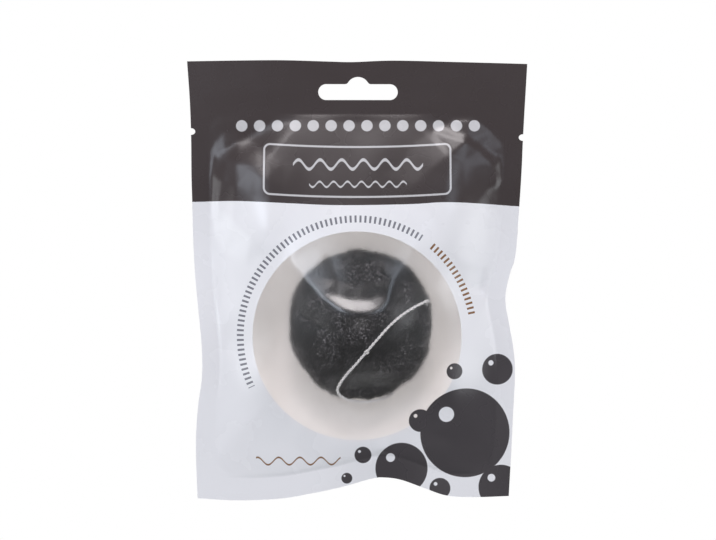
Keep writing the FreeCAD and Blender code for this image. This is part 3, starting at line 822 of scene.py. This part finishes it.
class Amount:
    """A number that varies over a surface. Sums with it add math nodes to its tree."""

    def __init__(self, tree, socket):
        self.tree = tree
        self.socket = socket

    def made(self, operation, *others, clamp=False):
        """The result of a math operation on this amount and others."""
        node = self.tree.nodes.new("ShaderNodeMath")
        node.operation = operation
        node.use_clamp = clamp
        for socket, value in zip(node.inputs, (self, *others)):
            put(self.tree, socket, value)
        return Amount(self.tree, node.outputs[0])

    def __add__(self, other):
        return self.made("ADD", other)

    def __sub__(self, other):
        return self.made("SUBTRACT", other)

    def __mul__(self, other):
        return self.made("MULTIPLY", other)

    def __truediv__(self, other):
        return self.made("DIVIDE", other)

    def __abs__(self):
        return self.made("ABSOLUTE")


def add_node(tree, kind, **inputs):
    """A node with inputs given as constants, or as amounts or sockets to link."""
    node = tree.nodes.new(kind)
    for key, value in inputs.items():
        put(tree, node.inputs[key.replace("_", " ")], value)
    return node


def mix_colour(tree, share, first, second):
    """A mix of two colours, each (r, g, b) or a socket."""
    node = tree.nodes.new("ShaderNodeMix")
    node.data_type = "RGBA"
    put(tree, node.inputs["Factor"], share)
    colour_inputs = [s for s in node.inputs if s.type == "RGBA"]
    for socket, value in zip(colour_inputs, (first, second)):
        put(tree, socket, (*value, 1.0) if isinstance(value, tuple) else value)
    return next(s for s in node.outputs if s.type == "RGBA")


def mix_shaders(tree, share, first, second):
    """A mix of two shaders' outputs."""
    node = add_node(tree, "ShaderNodeMixShader", Fac=share)
    tree.links.new(first.outputs[0], node.inputs[1])
    tree.links.new(second.outputs[0], node.inputs[2])
    return node


def new_material(name):
    """An empty material, with its tree and its output's surface socket."""
    material = bpy.data.materials.new(name)
    material.use_nodes = True
    tree = material.node_tree
    tree.nodes.clear()
    output = tree.nodes.new("ShaderNodeOutputMaterial")
    return material, tree, output.inputs["Surface"]


def place_on(tree):
    """The place on the object in metres."""
    return add_node(tree, "ShaderNodeTexCoord").outputs["Object"]


def print_place(tree, place):
    """How far across and up a place lies, in millimetres."""
    parts = add_node(tree, "ShaderNodeSeparateXYZ", Vector=place).outputs
    return Amount(tree, parts["X"]) * (1 / MM), Amount(tree, parts["Z"]) * (1 / MM)


def noise(tree, place, scale, detail, **inputs):
    """Soft noise over places."""
    node = add_node(tree, "ShaderNodeTexNoise", Vector=place, Scale=scale, Detail=detail, **inputs)
    return Amount(tree, node.outputs["Fac"])


def mapped(tree, value, **limits):
    """An amount carried from one range to another."""
    node = add_node(tree, "ShaderNodeMapRange", Value=value, **limits)
    return Amount(tree, node.outputs["Result"])


def bumpy(tree, height, strength, distance):
    """A surface's normal with a bump."""
    node = add_node(tree, "ShaderNodeBump", Strength=strength, Distance=distance, Height=height)
    return node.outputs["Normal"]


def ray_kinds(tree, *kinds):
    """1 for rays of these kinds."""
    path = add_node(tree, "ShaderNodeLightPath").outputs
    return union([Amount(tree, path[f"Is {kind} Ray"]) for kind in kinds])


def union(masks):
    """The strongest of several masks."""
    total = masks[0]
    for mask in masks[1:]:
        total = total.made("MAXIMUM", mask)
    return total


# Printed design: dots, waves, a frame, bubbles and ticks, by distance across the print


PRINT_EDGE = 0.12
FRAME_HALF = (37.3, 10.1)
FRAME_CENTRE = (-0.3, -31.0)
FRAME_CORNER = 2.4
FRAME_LINE = 0.75
FRAME_BOW = 1.4
# A dot row's height, half length, period and radius
DOT_ROW = (-13.6, 50.4, 7.2, 2.3)
# Enough periods to keep places along a dot row above zero
PERIODS_LEFT = 1000
# Each wave's middle, half length, height, wavelength and stroke
BAND_WAVES = [((0.0, -29.4), 26.0, 1.9, 8.667, 1.3), ((0.0, -37.4), 19.5, 1.1, 5.571, 0.8)]
FOOT_WAVE = ((-24.0, -148.4), 17.0, 1.5, 8.5, 0.7)
# Each bubble's place and radius
BUBBLES = [
    (43.0, -137.0, 18.0), (17.5, -151.5, 10.5), (57.5, -159.0, 9.0), (56.0, -111.5, 6.2),
    (25.0, -132.0, 4.6), (38.5, -112.0, 3.2), (2.0, -146.0, 3.4), (-4.5, -155.5, 2.2), (33.0, -159.5, 4.2),
]
BUBBLE_GLINT_SHIFT = 0.42
BUBBLE_GLINT_SIZE = 0.17
TICK_COUNT = 150
TICK_INNER, TICK_OUTER = 45.4, 48.2
TICK_DUTY = 0.42
# First and last angle of each run of ticks, in radians
GREY_TICKS = (-0.45, 2.15)
BROWN_TICKS = (2.25, 2.95)


def ink_inside(distance):
    """1 where a signed distance is below zero, with a slightly soft edge."""
    return (distance / (-2 * PRINT_EDGE)).made("ADD", 0.5, clamp=True)


def length_of(dx, dz):
    """The length of a step in the print's plane."""
    return (dx * dx + dz * dz).made("SQRT")


def span_mask(value, low, high):
    """1 where a value lies between two limits."""
    return value.made("GREATER_THAN", low) * value.made("LESS_THAN", high)


def frame_ink(across, up):
    """The rounded frame on the dark band, bowed a little by the film."""
    dx = across - FRAME_CENTRE[0]
    bow = dx * dx / (FRAME_HALF[0] ** 2 / FRAME_BOW)
    dz = up - bow - (FRAME_CENTRE[1] - FRAME_BOW)
    past_x = abs(dx) - (FRAME_HALF[0] - FRAME_CORNER)
    past_z = abs(dz) - (FRAME_HALF[1] - FRAME_CORNER)
    outer = length_of(past_x.made("MAXIMUM", 0.0), past_z.made("MAXIMUM", 0.0))
    inner = past_x.made("MAXIMUM", past_z).made("MINIMUM", 0.0)
    return ink_inside(abs(outer + inner - FRAME_CORNER) - FRAME_LINE / 2)


def wave_ink(across, up, middle, half_length, height, wavelength, stroke):
    """A printed wavy line."""
    swing = (across * (2 * math.pi / wavelength)).made("SINE")
    line = ink_inside(abs(up - (swing * height + middle[1])) - stroke / 2)
    return line * span_mask(across, middle[0] - half_length, middle[0] + half_length)


def dot_row_ink(across, up, height, half_length, period, radius):
    """A row of printed round dots."""
    cell = (across + PERIODS_LEFT * period).made("MODULO", period) - period / 2
    dots = ink_inside(length_of(cell, up - height) - radius)
    return dots * span_mask(across, -half_length, half_length)


def bubble_ink(across, up):
    """The printed bubbles, each with a bare glint."""
    discs, glints = [], []
    for x, z, radius in BUBBLES:
        shift = BUBBLE_GLINT_SHIFT * radius
        glint = length_of(across - (x - shift), up - (z + shift))
        discs.append(ink_inside(length_of(across - x, up - z) - radius))
        glints.append(ink_inside(glint - BUBBLE_GLINT_SIZE * radius))
    return union(discs).made("SUBTRACT", union(glints), clamp=True)


def tick_ink(across, up, first_angle, last_angle):
    """A ring of fine ticks round the window, between two angles in radians from -X clockwise."""
    dx = across - WINDOW_CENTRE[0]
    dz = up - WINDOW_CENTRE[1]
    angle = dz.made("ARCTAN2", dx * -1.0)
    turn = (angle * (TICK_COUNT / (2 * math.pi))).made("FRACT")
    ring = span_mask(length_of(dx, dz), TICK_INNER, TICK_OUTER)
    return turn.made("LESS_THAN", TICK_DUTY) * ring * span_mask(angle, first_angle, last_angle)


# Film, fibre and cotton


FILM_ROUGH = (0.22, 0.32)
DARK_INK = (0.050, 0.039, 0.039)
DARK_INK_LIGHT = (0.064, 0.051, 0.051)
SILVER_INK = (0.60, 0.59, 0.60)
ART_INK = (0.066, 0.059, 0.064)
TICK_GREY = (0.21, 0.21, 0.24)
TICK_BROWN = (0.26, 0.13, 0.06)
WHITE_PRINT = (0.90, 0.90, 0.93)
WHITE_PRINT_WARM = (0.87, 0.86, 0.88)
WHITE_INSIDE = (0.96, 0.92, 0.89)
WHITE_INSIDE_SHADE = (0.94, 0.89, 0.86)
WHITE_PASSES = 0.45
BACK_PASSES = 0.7
BACK_SPREADS = 0.4
CLEAR_TINT = (0.97, 0.96, 0.96, 1.0)
CLEAR_ROUGH = (0.33, 0.41)
CLEAR_IOR = 1.16
CLEAR_GLOSS_ROUGHNESS = 0.26
CLEAR_GLOSS_IOR = 1.7
SPONGE_DARK = (0.005, 0.005, 0.0055)
SPONGE_GREY = (0.012, 0.011, 0.0125)
SPONGE_FLECK = (0.26, 0.25, 0.26)
COTTON = (0.88, 0.87, 0.86)
# Painted shade: the cotton's darker colour, put where the fibre bump sinks into hollows
COTTON_PAINTED_SHADE = (0.72, 0.71, 0.69)


def film_shine(tree, place, rough_range):
    """The film's uneven roughness and its fine surface bump."""
    smear = noise(tree, place, scale=60.0, detail=3.0)
    rough = mapped(tree, smear, To_Min=rough_range[0], To_Max=rough_range[1])
    grain = noise(tree, place, scale=700.0, detail=2.0)
    return rough, bumpy(tree, grain, strength=0.03, distance=0.0003)


def film_surface(tree, place, colour):
    """Glossy film of a colour, and its bump."""
    rough, bump = film_shine(tree, place, FILM_ROUGH)
    film = add_node(tree, "ShaderNodeBsdfPrincipled", Base_Color=colour, Roughness=rough, Normal=bump)
    return film, bump


def lit_through(tree, shader, share):
    """A shader that lets a share of the light pass straight on."""
    passing = lamp_rays(tree) * share
    return mix_shaders(tree, passing, shader, add_node(tree, "ShaderNodeBsdfTransparent"))


def lamp_rays(tree):
    """1 for rays that carry light, as against rays that show the film."""
    return ray_kinds(tree, "Shadow", "Diffuse")


def dark_film():
    """Dark printed film with a silver frame, dots and waves."""
    material, tree, surface = new_material("dark_film")
    place = place_on(tree)
    across, up = print_place(tree, place)
    ground = mix_colour(tree, noise(tree, place, scale=22.0, detail=4.0), DARK_INK, DARK_INK_LIGHT)
    waves = [wave_ink(across, up, *wave) for wave in BAND_WAVES]
    silver = union([frame_ink(across, up), dot_row_ink(across, up, *DOT_ROW), *waves])
    film, _ = film_surface(tree, place, mix_colour(tree, silver, ground, SILVER_INK))
    tree.links.new(film.outputs[0], surface)
    return material


def plain_film(name, ground, other, passes, spreads=0.0):
    """Film without a design, which lets shares of the light pass straight on and spread behind it."""
    material, tree, surface = new_material(name)
    place = place_on(tree)
    colour = mix_colour(tree, noise(tree, place, scale=20.0, detail=4.0), ground, other)
    film, bump = film_surface(tree, place, colour)
    if spreads:
        milky = add_node(tree, "ShaderNodeBsdfTranslucent", Color=colour, Normal=bump)
        film = mix_shaders(tree, spreads, film, milky)
    tree.links.new(lit_through(tree, film, passes).outputs[0], surface)
    return material


def white_film():
    """White printed film with bubbles, ticks and a small wave."""
    material, tree, surface = new_material("white_film")
    place = place_on(tree)
    across, up = print_place(tree, place)
    ground = mix_colour(tree, noise(tree, place, scale=18.0, detail=3.0), WHITE_PRINT, WHITE_PRINT_WARM)
    grey = mix_colour(tree, tick_ink(across, up, *GREY_TICKS), ground, TICK_GREY)
    brown_marks = union([tick_ink(across, up, *BROWN_TICKS), wave_ink(across, up, *FOOT_WAVE)])
    brown = mix_colour(tree, brown_marks, grey, TICK_BROWN)
    film, _ = film_surface(tree, place, mix_colour(tree, bubble_ink(across, up), brown, ART_INK))
    tree.links.new(lit_through(tree, film, WHITE_PASSES).outputs[0], surface)
    return material


def clear_film(name, gloss):
    """Hazy clear film: what touches it is sharp, and what lies further behind it is blurred."""
    material, tree, surface = new_material(name)
    place = place_on(tree)
    across, up = print_place(tree, place)
    rough, bump = film_shine(tree, place, CLEAR_ROUGH)
    glass = add_node(
        tree, "ShaderNodeBsdfPrincipled", Base_Color=CLEAR_TINT, Roughness=rough, Normal=bump,
        Transmission_Weight=1.0, IOR=CLEAR_IOR, Coat_Weight=gloss, Coat_Roughness=CLEAR_GLOSS_ROUGHNESS,
        Coat_IOR=CLEAR_GLOSS_IOR,
    )
    passing = add_node(tree, "ShaderNodeBsdfTransparent", Color=CLEAR_TINT)
    film = mix_shaders(tree, lamp_rays(tree), glass, passing)
    ink = add_node(tree, "ShaderNodeBsdfPrincipled", Base_Color=(*ART_INK, 1.0), Roughness=FILM_ROUGH[1])
    printed = mix_shaders(tree, bubble_ink(across, up), film, ink)
    tree.links.new(printed.outputs[0], surface)
    return material


def sponge_fibre():
    """Charcoal konjac: dark pores, greyer fibre and pale flecks."""
    material, tree, surface = new_material("konjac_sponge")
    place = place_on(tree)
    ground = mix_colour(tree, noise(tree, place, scale=160.0, detail=5.0), SPONGE_DARK, SPONGE_GREY)
    flecks = noise(tree, place, scale=1500.0, detail=2.0, Roughness=0.6)
    patches = noise(tree, place, scale=120.0, detail=2.0)
    sharp = mapped(tree, flecks, From_Min=0.55, From_Max=0.66)
    spread = mapped(tree, patches, From_Min=0.36, From_Max=0.62)
    colour = mix_colour(tree, sharp * spread, ground, SPONGE_FLECK)
    pores = add_node(tree, "ShaderNodeTexVoronoi", Vector=place, Scale=1300.0).outputs["Distance"]
    bump = bumpy(tree, pores, strength=0.7, distance=0.0004)
    shader = add_node(
        tree, "ShaderNodeBsdfPrincipled", Base_Color=colour, Roughness=0.92, Normal=bump,
        Specular_IOR_Level=0.0,
    )
    tree.links.new(shader.outputs[0], surface)
    return material


def cotton_yarn():
    """Undyed cotton: pale fibres, with painted shade that darkens the bump's hollows."""
    material, tree, surface = new_material("cotton_cord")
    fibres = noise(tree, place_on(tree), scale=2600.0, detail=3.0)
    # The same fibre noise sinks the bump and picks the darker colour there: painted shade in the hollows
    shader = add_node(
        tree, "ShaderNodeBsdfPrincipled", Base_Color=mix_colour(tree, fibres, COTTON_PAINTED_SHADE, COTTON),
        Roughness=0.9, Normal=bumpy(tree, fibres, strength=0.5, distance=0.0001), Sheen_Weight=0.3,
    )
    tree.links.new(shader.outputs[0], surface)
    return material


# Sponge: a half ball of pressed fibre


SPONGE_FACE_COUNT = 96
# The lower half hangs by this share at the rim, coming in from a depth past the heart over a reach
SPONGE_SAG = 0.085
SAG_START, SAG_REACH = -8.0, 10.0
# Lumps of three sizes: shortest and longest wave, and height
SPONGE_LUMPS = [(9.0, 22.0, 0.35), (2.6, 6.0, 0.16), (1.0, 2.2, 0.10)]
LUMP_WAVES = 40
LUMP_LIMIT, LUMP_INSET = 0.5, 0.35
# The outline is found by halving along rays from a point inside the half ball, on its axis
HEART_Y = -3.0
SEARCH_REACH = 60.0
SEARCH_STEPS = 40


def half_ball_level(radius, depth):
    """Below zero inside the half ball's outline, by distance from its axis and depth."""
    crown_y = SPONGE_APEX + CROWN_RADIUS
    from_crown = np.hypot(radius, depth - crown_y) - CROWN_RADIUS
    from_shoulder = np.hypot(np.maximum(radius - SHOULDER_INSET, 0), depth - SPONGE_EDGE_Y) - SHOULDER_RADIUS
    on_crown = np.arctan2(radius, crown_y - depth) < CROWN_LEAN
    front = np.where(on_crown, from_crown, from_shoulder)
    flat_r = np.maximum(radius - SPONGE_RADIUS + BACK_EDGE_RADIUS, 0)
    flat_y = np.maximum(depth - SPONGE_EDGE_Y, 0)
    rounded = np.hypot(flat_r, flat_y) - BACK_EDGE_RADIUS
    return np.where(depth < SPONGE_EDGE_Y, front, rounded)


def cube_directions(count):
    """Unit directions over a cube's six faces, with its quads."""
    steps = np.tan(np.linspace(-math.pi / 4, math.pi / 4, count + 1))
    index, points, quads = {}, [], []
    for axis in range(3):
        for sign in (-1, 1):
            grid = np.empty((count + 1, count + 1), int)
            for i, u in enumerate(steps):
                for j, v in enumerate(steps):
                    place = [u, v]
                    place.insert(axis, float(sign))
                    key = tuple(round(c, 6) for c in place)
                    if key not in index:
                        index[key] = len(points)
                        points.append(place)
                    grid[i, j] = index[key]
            for i in range(count):
                for j in range(count):
                    quad = [grid[i, j], grid[i + 1, j], grid[i + 1, j + 1], grid[i, j + 1]]
                    outward = (sign > 0) == (axis != 1)
                    quads.append(quad if outward else quad[::-1])
    points = np.array(points)
    return points / np.linalg.norm(points, axis=1, keepdims=True), quads


def lumps(points, seed, shortest, longest, height):
    """Soft lumps over a solid, from random plane waves."""
    draw = np.random.default_rng(seed)
    total = np.zeros(len(points))
    for _ in range(LUMP_WAVES):
        direction = draw.normal(size=3)
        direction /= np.linalg.norm(direction)
        length = draw.uniform(shortest, longest)
        total += np.sin(points @ direction * 2 * math.pi / length + draw.uniform(0, 2 * math.pi))
    return height * total / math.sqrt(LUMP_WAVES / 2)


def make_sponge(material):
    """The half ball with lumps and pores, dome to the front."""
    directions, quads = cube_directions(SPONGE_FACE_COUNT)
    low = np.zeros(len(directions))
    high = np.full(len(directions), SEARCH_REACH)
    across = np.hypot(directions[:, 0], directions[:, 2])
    for _ in range(SEARCH_STEPS):
        middle = (low + high) / 2
        outside = half_ball_level(middle * across, HEART_Y + middle * directions[:, 1]) > 0
        high = np.where(outside, middle, high)
        low = np.where(outside, low, middle)
    surface = directions * low[:, None]
    rough = sum(lumps(surface, seed, *lump) for seed, lump in enumerate(SPONGE_LUMPS))
    points = surface + directions * (np.minimum(rough, LUMP_LIMIT) - LUMP_INSET)[:, None]
    at_rim = smooth_step((points[:, 1] - SAG_START) / SAG_REACH) * (points[:, 2] < 0)
    points[:, 2] *= 1 + SPONGE_SAG * at_rim
    points += np.array(SPONGE_CENTRE) / MM + (0, HEART_Y, 0)
    sponge = link_mesh("sponge_fibre", points, quads, [material])
    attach(sponge, "sponge")
    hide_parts("sponge")


def make_finishes():
    """Each print's materials: towards the front and towards the back."""
    dark_front = dark_film()
    dark_plain = plain_film("dark_film_plain", DARK_INK, DARK_INK_LIGHT, 0.0)
    white_front = white_film()
    white_inside = plain_film("white_film_inside", WHITE_INSIDE, WHITE_INSIDE_SHADE, WHITE_PASSES)
    white_plain = plain_film("white_film_plain", WHITE_PRINT, WHITE_PRINT_WARM, BACK_PASSES, BACK_SPREADS)
    white_back = plain_film("white_film_back", WHITE_INSIDE, WHITE_INSIDE_SHADE, BACK_PASSES, BACK_SPREADS)
    white_weld = plain_film("white_film_weld", WHITE_PRINT, WHITE_PRINT_WARM, 0.0)
    return {
        "dark": (dark_front, dark_plain),
        "plain dark": (dark_plain, dark_plain),
        "white": (white_front, white_inside),
        "plain white": (white_back, white_plain),
        "weld white": (white_front, white_weld),
        "clear": (clear_film("clear_film", 1.0), clear_film("clear_film_inside", 0.0)),
    }


def make_pouch():
    """All film pieces, cut from one flat pouch."""
    finishes = make_finishes()
    flat, triangles, middle, pocket = triangulate_pouch()
    x, z = middle[:, 0], middle[:, 1]
    in_pocket = inside(pocket, middle)
    above_tear = z > tear_z(x)
    above_band = z > band_z(x)
    in_window = np.hypot(x - WINDOW_CENTRE[0], z - WINDOW_CENTRE[1]) < WINDOW_RADIUS
    in_foot = ~in_pocket & (z < bottom_weld_z(x))
    side = ~in_pocket & ~above_tear & ~in_foot
    front = ((front_face, -FILM_GAUGE), (front_face, 0.0))
    back = ((back_face, 0.0), (back_face, FILM_GAUGE))
    weld = ((middle_sheet, -FILM_GAUGE), (middle_sheet, FILM_GAUGE))
    band = in_pocket & ~above_tear & above_band
    panel = in_pocket & ~above_band
    zones = [
        ("header_seal", ~in_pocket & above_tear, weld, "header", "dark"),
        ("header_front_lip", in_pocket & above_tear, front, "header", "dark"),
        ("header_back_lip", in_pocket & above_tear, back, "header", "plain dark"),
        ("front_band", band, front, "pouch", "dark"),
        ("back_band", band, back, "pouch", "plain dark"),
        ("front_panel", panel & ~in_window, front, "pouch", "white"),
        ("front_window", panel & in_window, front, "pouch", "clear"),
        ("back_panel", panel, back, "pouch", "plain white"),
        ("left_side_seal", side & (x < 0), weld, "pouch", "weld white"),
        ("right_side_seal", side & (x > 0), weld, "pouch", "weld white"),
        ("bottom_seal", in_foot, weld, "pouch", "weld white"),
    ]
    for name, zone, (near, far), body, kind in zones:
        kinds = np.full(zone.sum(), kind, dtype=object)
        if name.endswith("side_seal"):
            kinds[above_band[zone]] = "dark"
        piece = film_piece(f"{name}_film", flat, triangles[zone], near, far, kinds, finishes)
        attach(piece, body)
        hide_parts(name)


# Studio: white surroundings, soft boxes and a pale floor


# Each soft box: turn to the right and height in degrees as seen from the pouch, width, height,
# distance in metres, radiance and colour
SOFT_BOXES = {
    "left": (-30, 19, 0.30, 0.42, 0.9, 4.8, (0.80, 0.88, 1.0)),
    "right": (29, 22, 0.30, 0.36, 0.9, 2.0, (0.76, 0.86, 1.0)),
    "top": (0, 56, 0.36, 0.27, 0.9, 12.0, (1.0, 0.95, 0.96)),
    "ridge": (-15, 39, 0.08, 0.08, 0.9, 20.0, (1.0, 0.95, 0.97)),
    "low": (0, -17, 0.28, 0.16, 0.9, 0.9, (1.0, 0.97, 0.98)),
    "left side": (-73, -18, 0.46, 0.9, 0.9, 2.8, (0.94, 0.97, 1.0)),
    "right side": (73, -18, 0.46, 0.9, 0.9, 2.8, (0.94, 0.97, 1.0)),
}
LIGHT_TARGET = Vector((0, 0, -0.06))
AMBIENT = 0.16
BACKDROP = 1.0
BACKDROP_EDGE = 4.0
# The light target and the floor's height and radius are in metres
FLOOR_HEIGHT = -1.5
FLOOR_RADIUS = 0.3
FLOOR_COLOUR = (0.82, 0.82, 0.82, 1.0)
FLOOR_GLOW = 0.3
FLOOR_SIDES = 96


def make_lights():
    """Soft boxes aimed at the pouch."""
    for name, (turn, rise, width, height, distance, radiance, colour) in SOFT_BOXES.items():
        data = bpy.data.lights.new(name, "AREA")
        data.shape = "RECTANGLE"
        data.size, data.size_y = width, height
        data.energy = radiance * math.pi * width * height
        data.color = colour
        lamp = bpy.data.objects.new(name, data)
        turn, rise = math.radians(turn), math.radians(rise)
        way = Vector((math.sin(turn) * math.cos(rise), -math.cos(turn) * math.cos(rise), math.sin(rise)))
        lamp.location = LIGHT_TARGET + distance * way
        lamp.rotation_euler = (-way).to_track_quat("-Z", "Y").to_euler()
        lamp.visible_camera = False
        SCENE.collection.objects.link(lamp)


def make_world():
    """A white backdrop behind the pouch, which film shows too, and a plain soft light in front."""
    world = bpy.data.worlds.new("studio")
    SCENE.world = world
    world.use_nodes = True
    tree = world.node_tree
    tree.nodes.clear()
    way = add_node(tree, "ShaderNodeTexCoord").outputs["Generated"]
    behind = Amount(tree, add_node(tree, "ShaderNodeSeparateXYZ", Vector=way).outputs["Y"])
    backdrop = behind.made("MULTIPLY", BACKDROP_EDGE, clamp=True)
    plain = mapped(tree, backdrop, To_Min=AMBIENT, To_Max=BACKDROP)
    strength = mapped(tree, ray_kinds(tree, "Camera"), To_Min=plain, To_Max=1.0)
    light = add_node(tree, "ShaderNodeBackground", Color=(1, 1, 1, 1), Strength=strength)
    output = tree.nodes.new("ShaderNodeOutputWorld")
    tree.links.new(light.outputs[0], output.inputs["Surface"])


def make_floor():
    """A pale round floor below the hanging pouch."""
    material, tree, surface = new_material("pale_floor")
    paint = add_node(tree, "ShaderNodeBsdfDiffuse", Color=FLOOR_COLOUR)
    seen = ray_kinds(tree, "Camera", "Glossy", "Transmission")
    glow = add_node(tree, "ShaderNodeEmission", Strength=seen * FLOOR_GLOW)
    both = add_node(tree, "ShaderNodeAddShader")
    tree.links.new(paint.outputs[0], both.inputs[0])
    tree.links.new(glow.outputs[0], both.inputs[1])
    tree.links.new(both.outputs[0], surface)
    turns = np.linspace(0, 2 * math.pi, FLOOR_SIDES, endpoint=False)
    ring = np.column_stack([np.cos(turns), np.sin(turns), np.zeros(len(turns))]) * FLOOR_RADIUS / MM
    floor = link_mesh("floor", ring + (0, 0, FLOOR_HEIGHT / MM), [tuple(range(len(turns)))], [material])


make_camera()
make_cord(cotton_yarn())
make_pouch()
make_sponge(sponge_fibre())
make_lights()
make_world()
make_floor()
SCENE.view_settings.view_transform = "Standard"
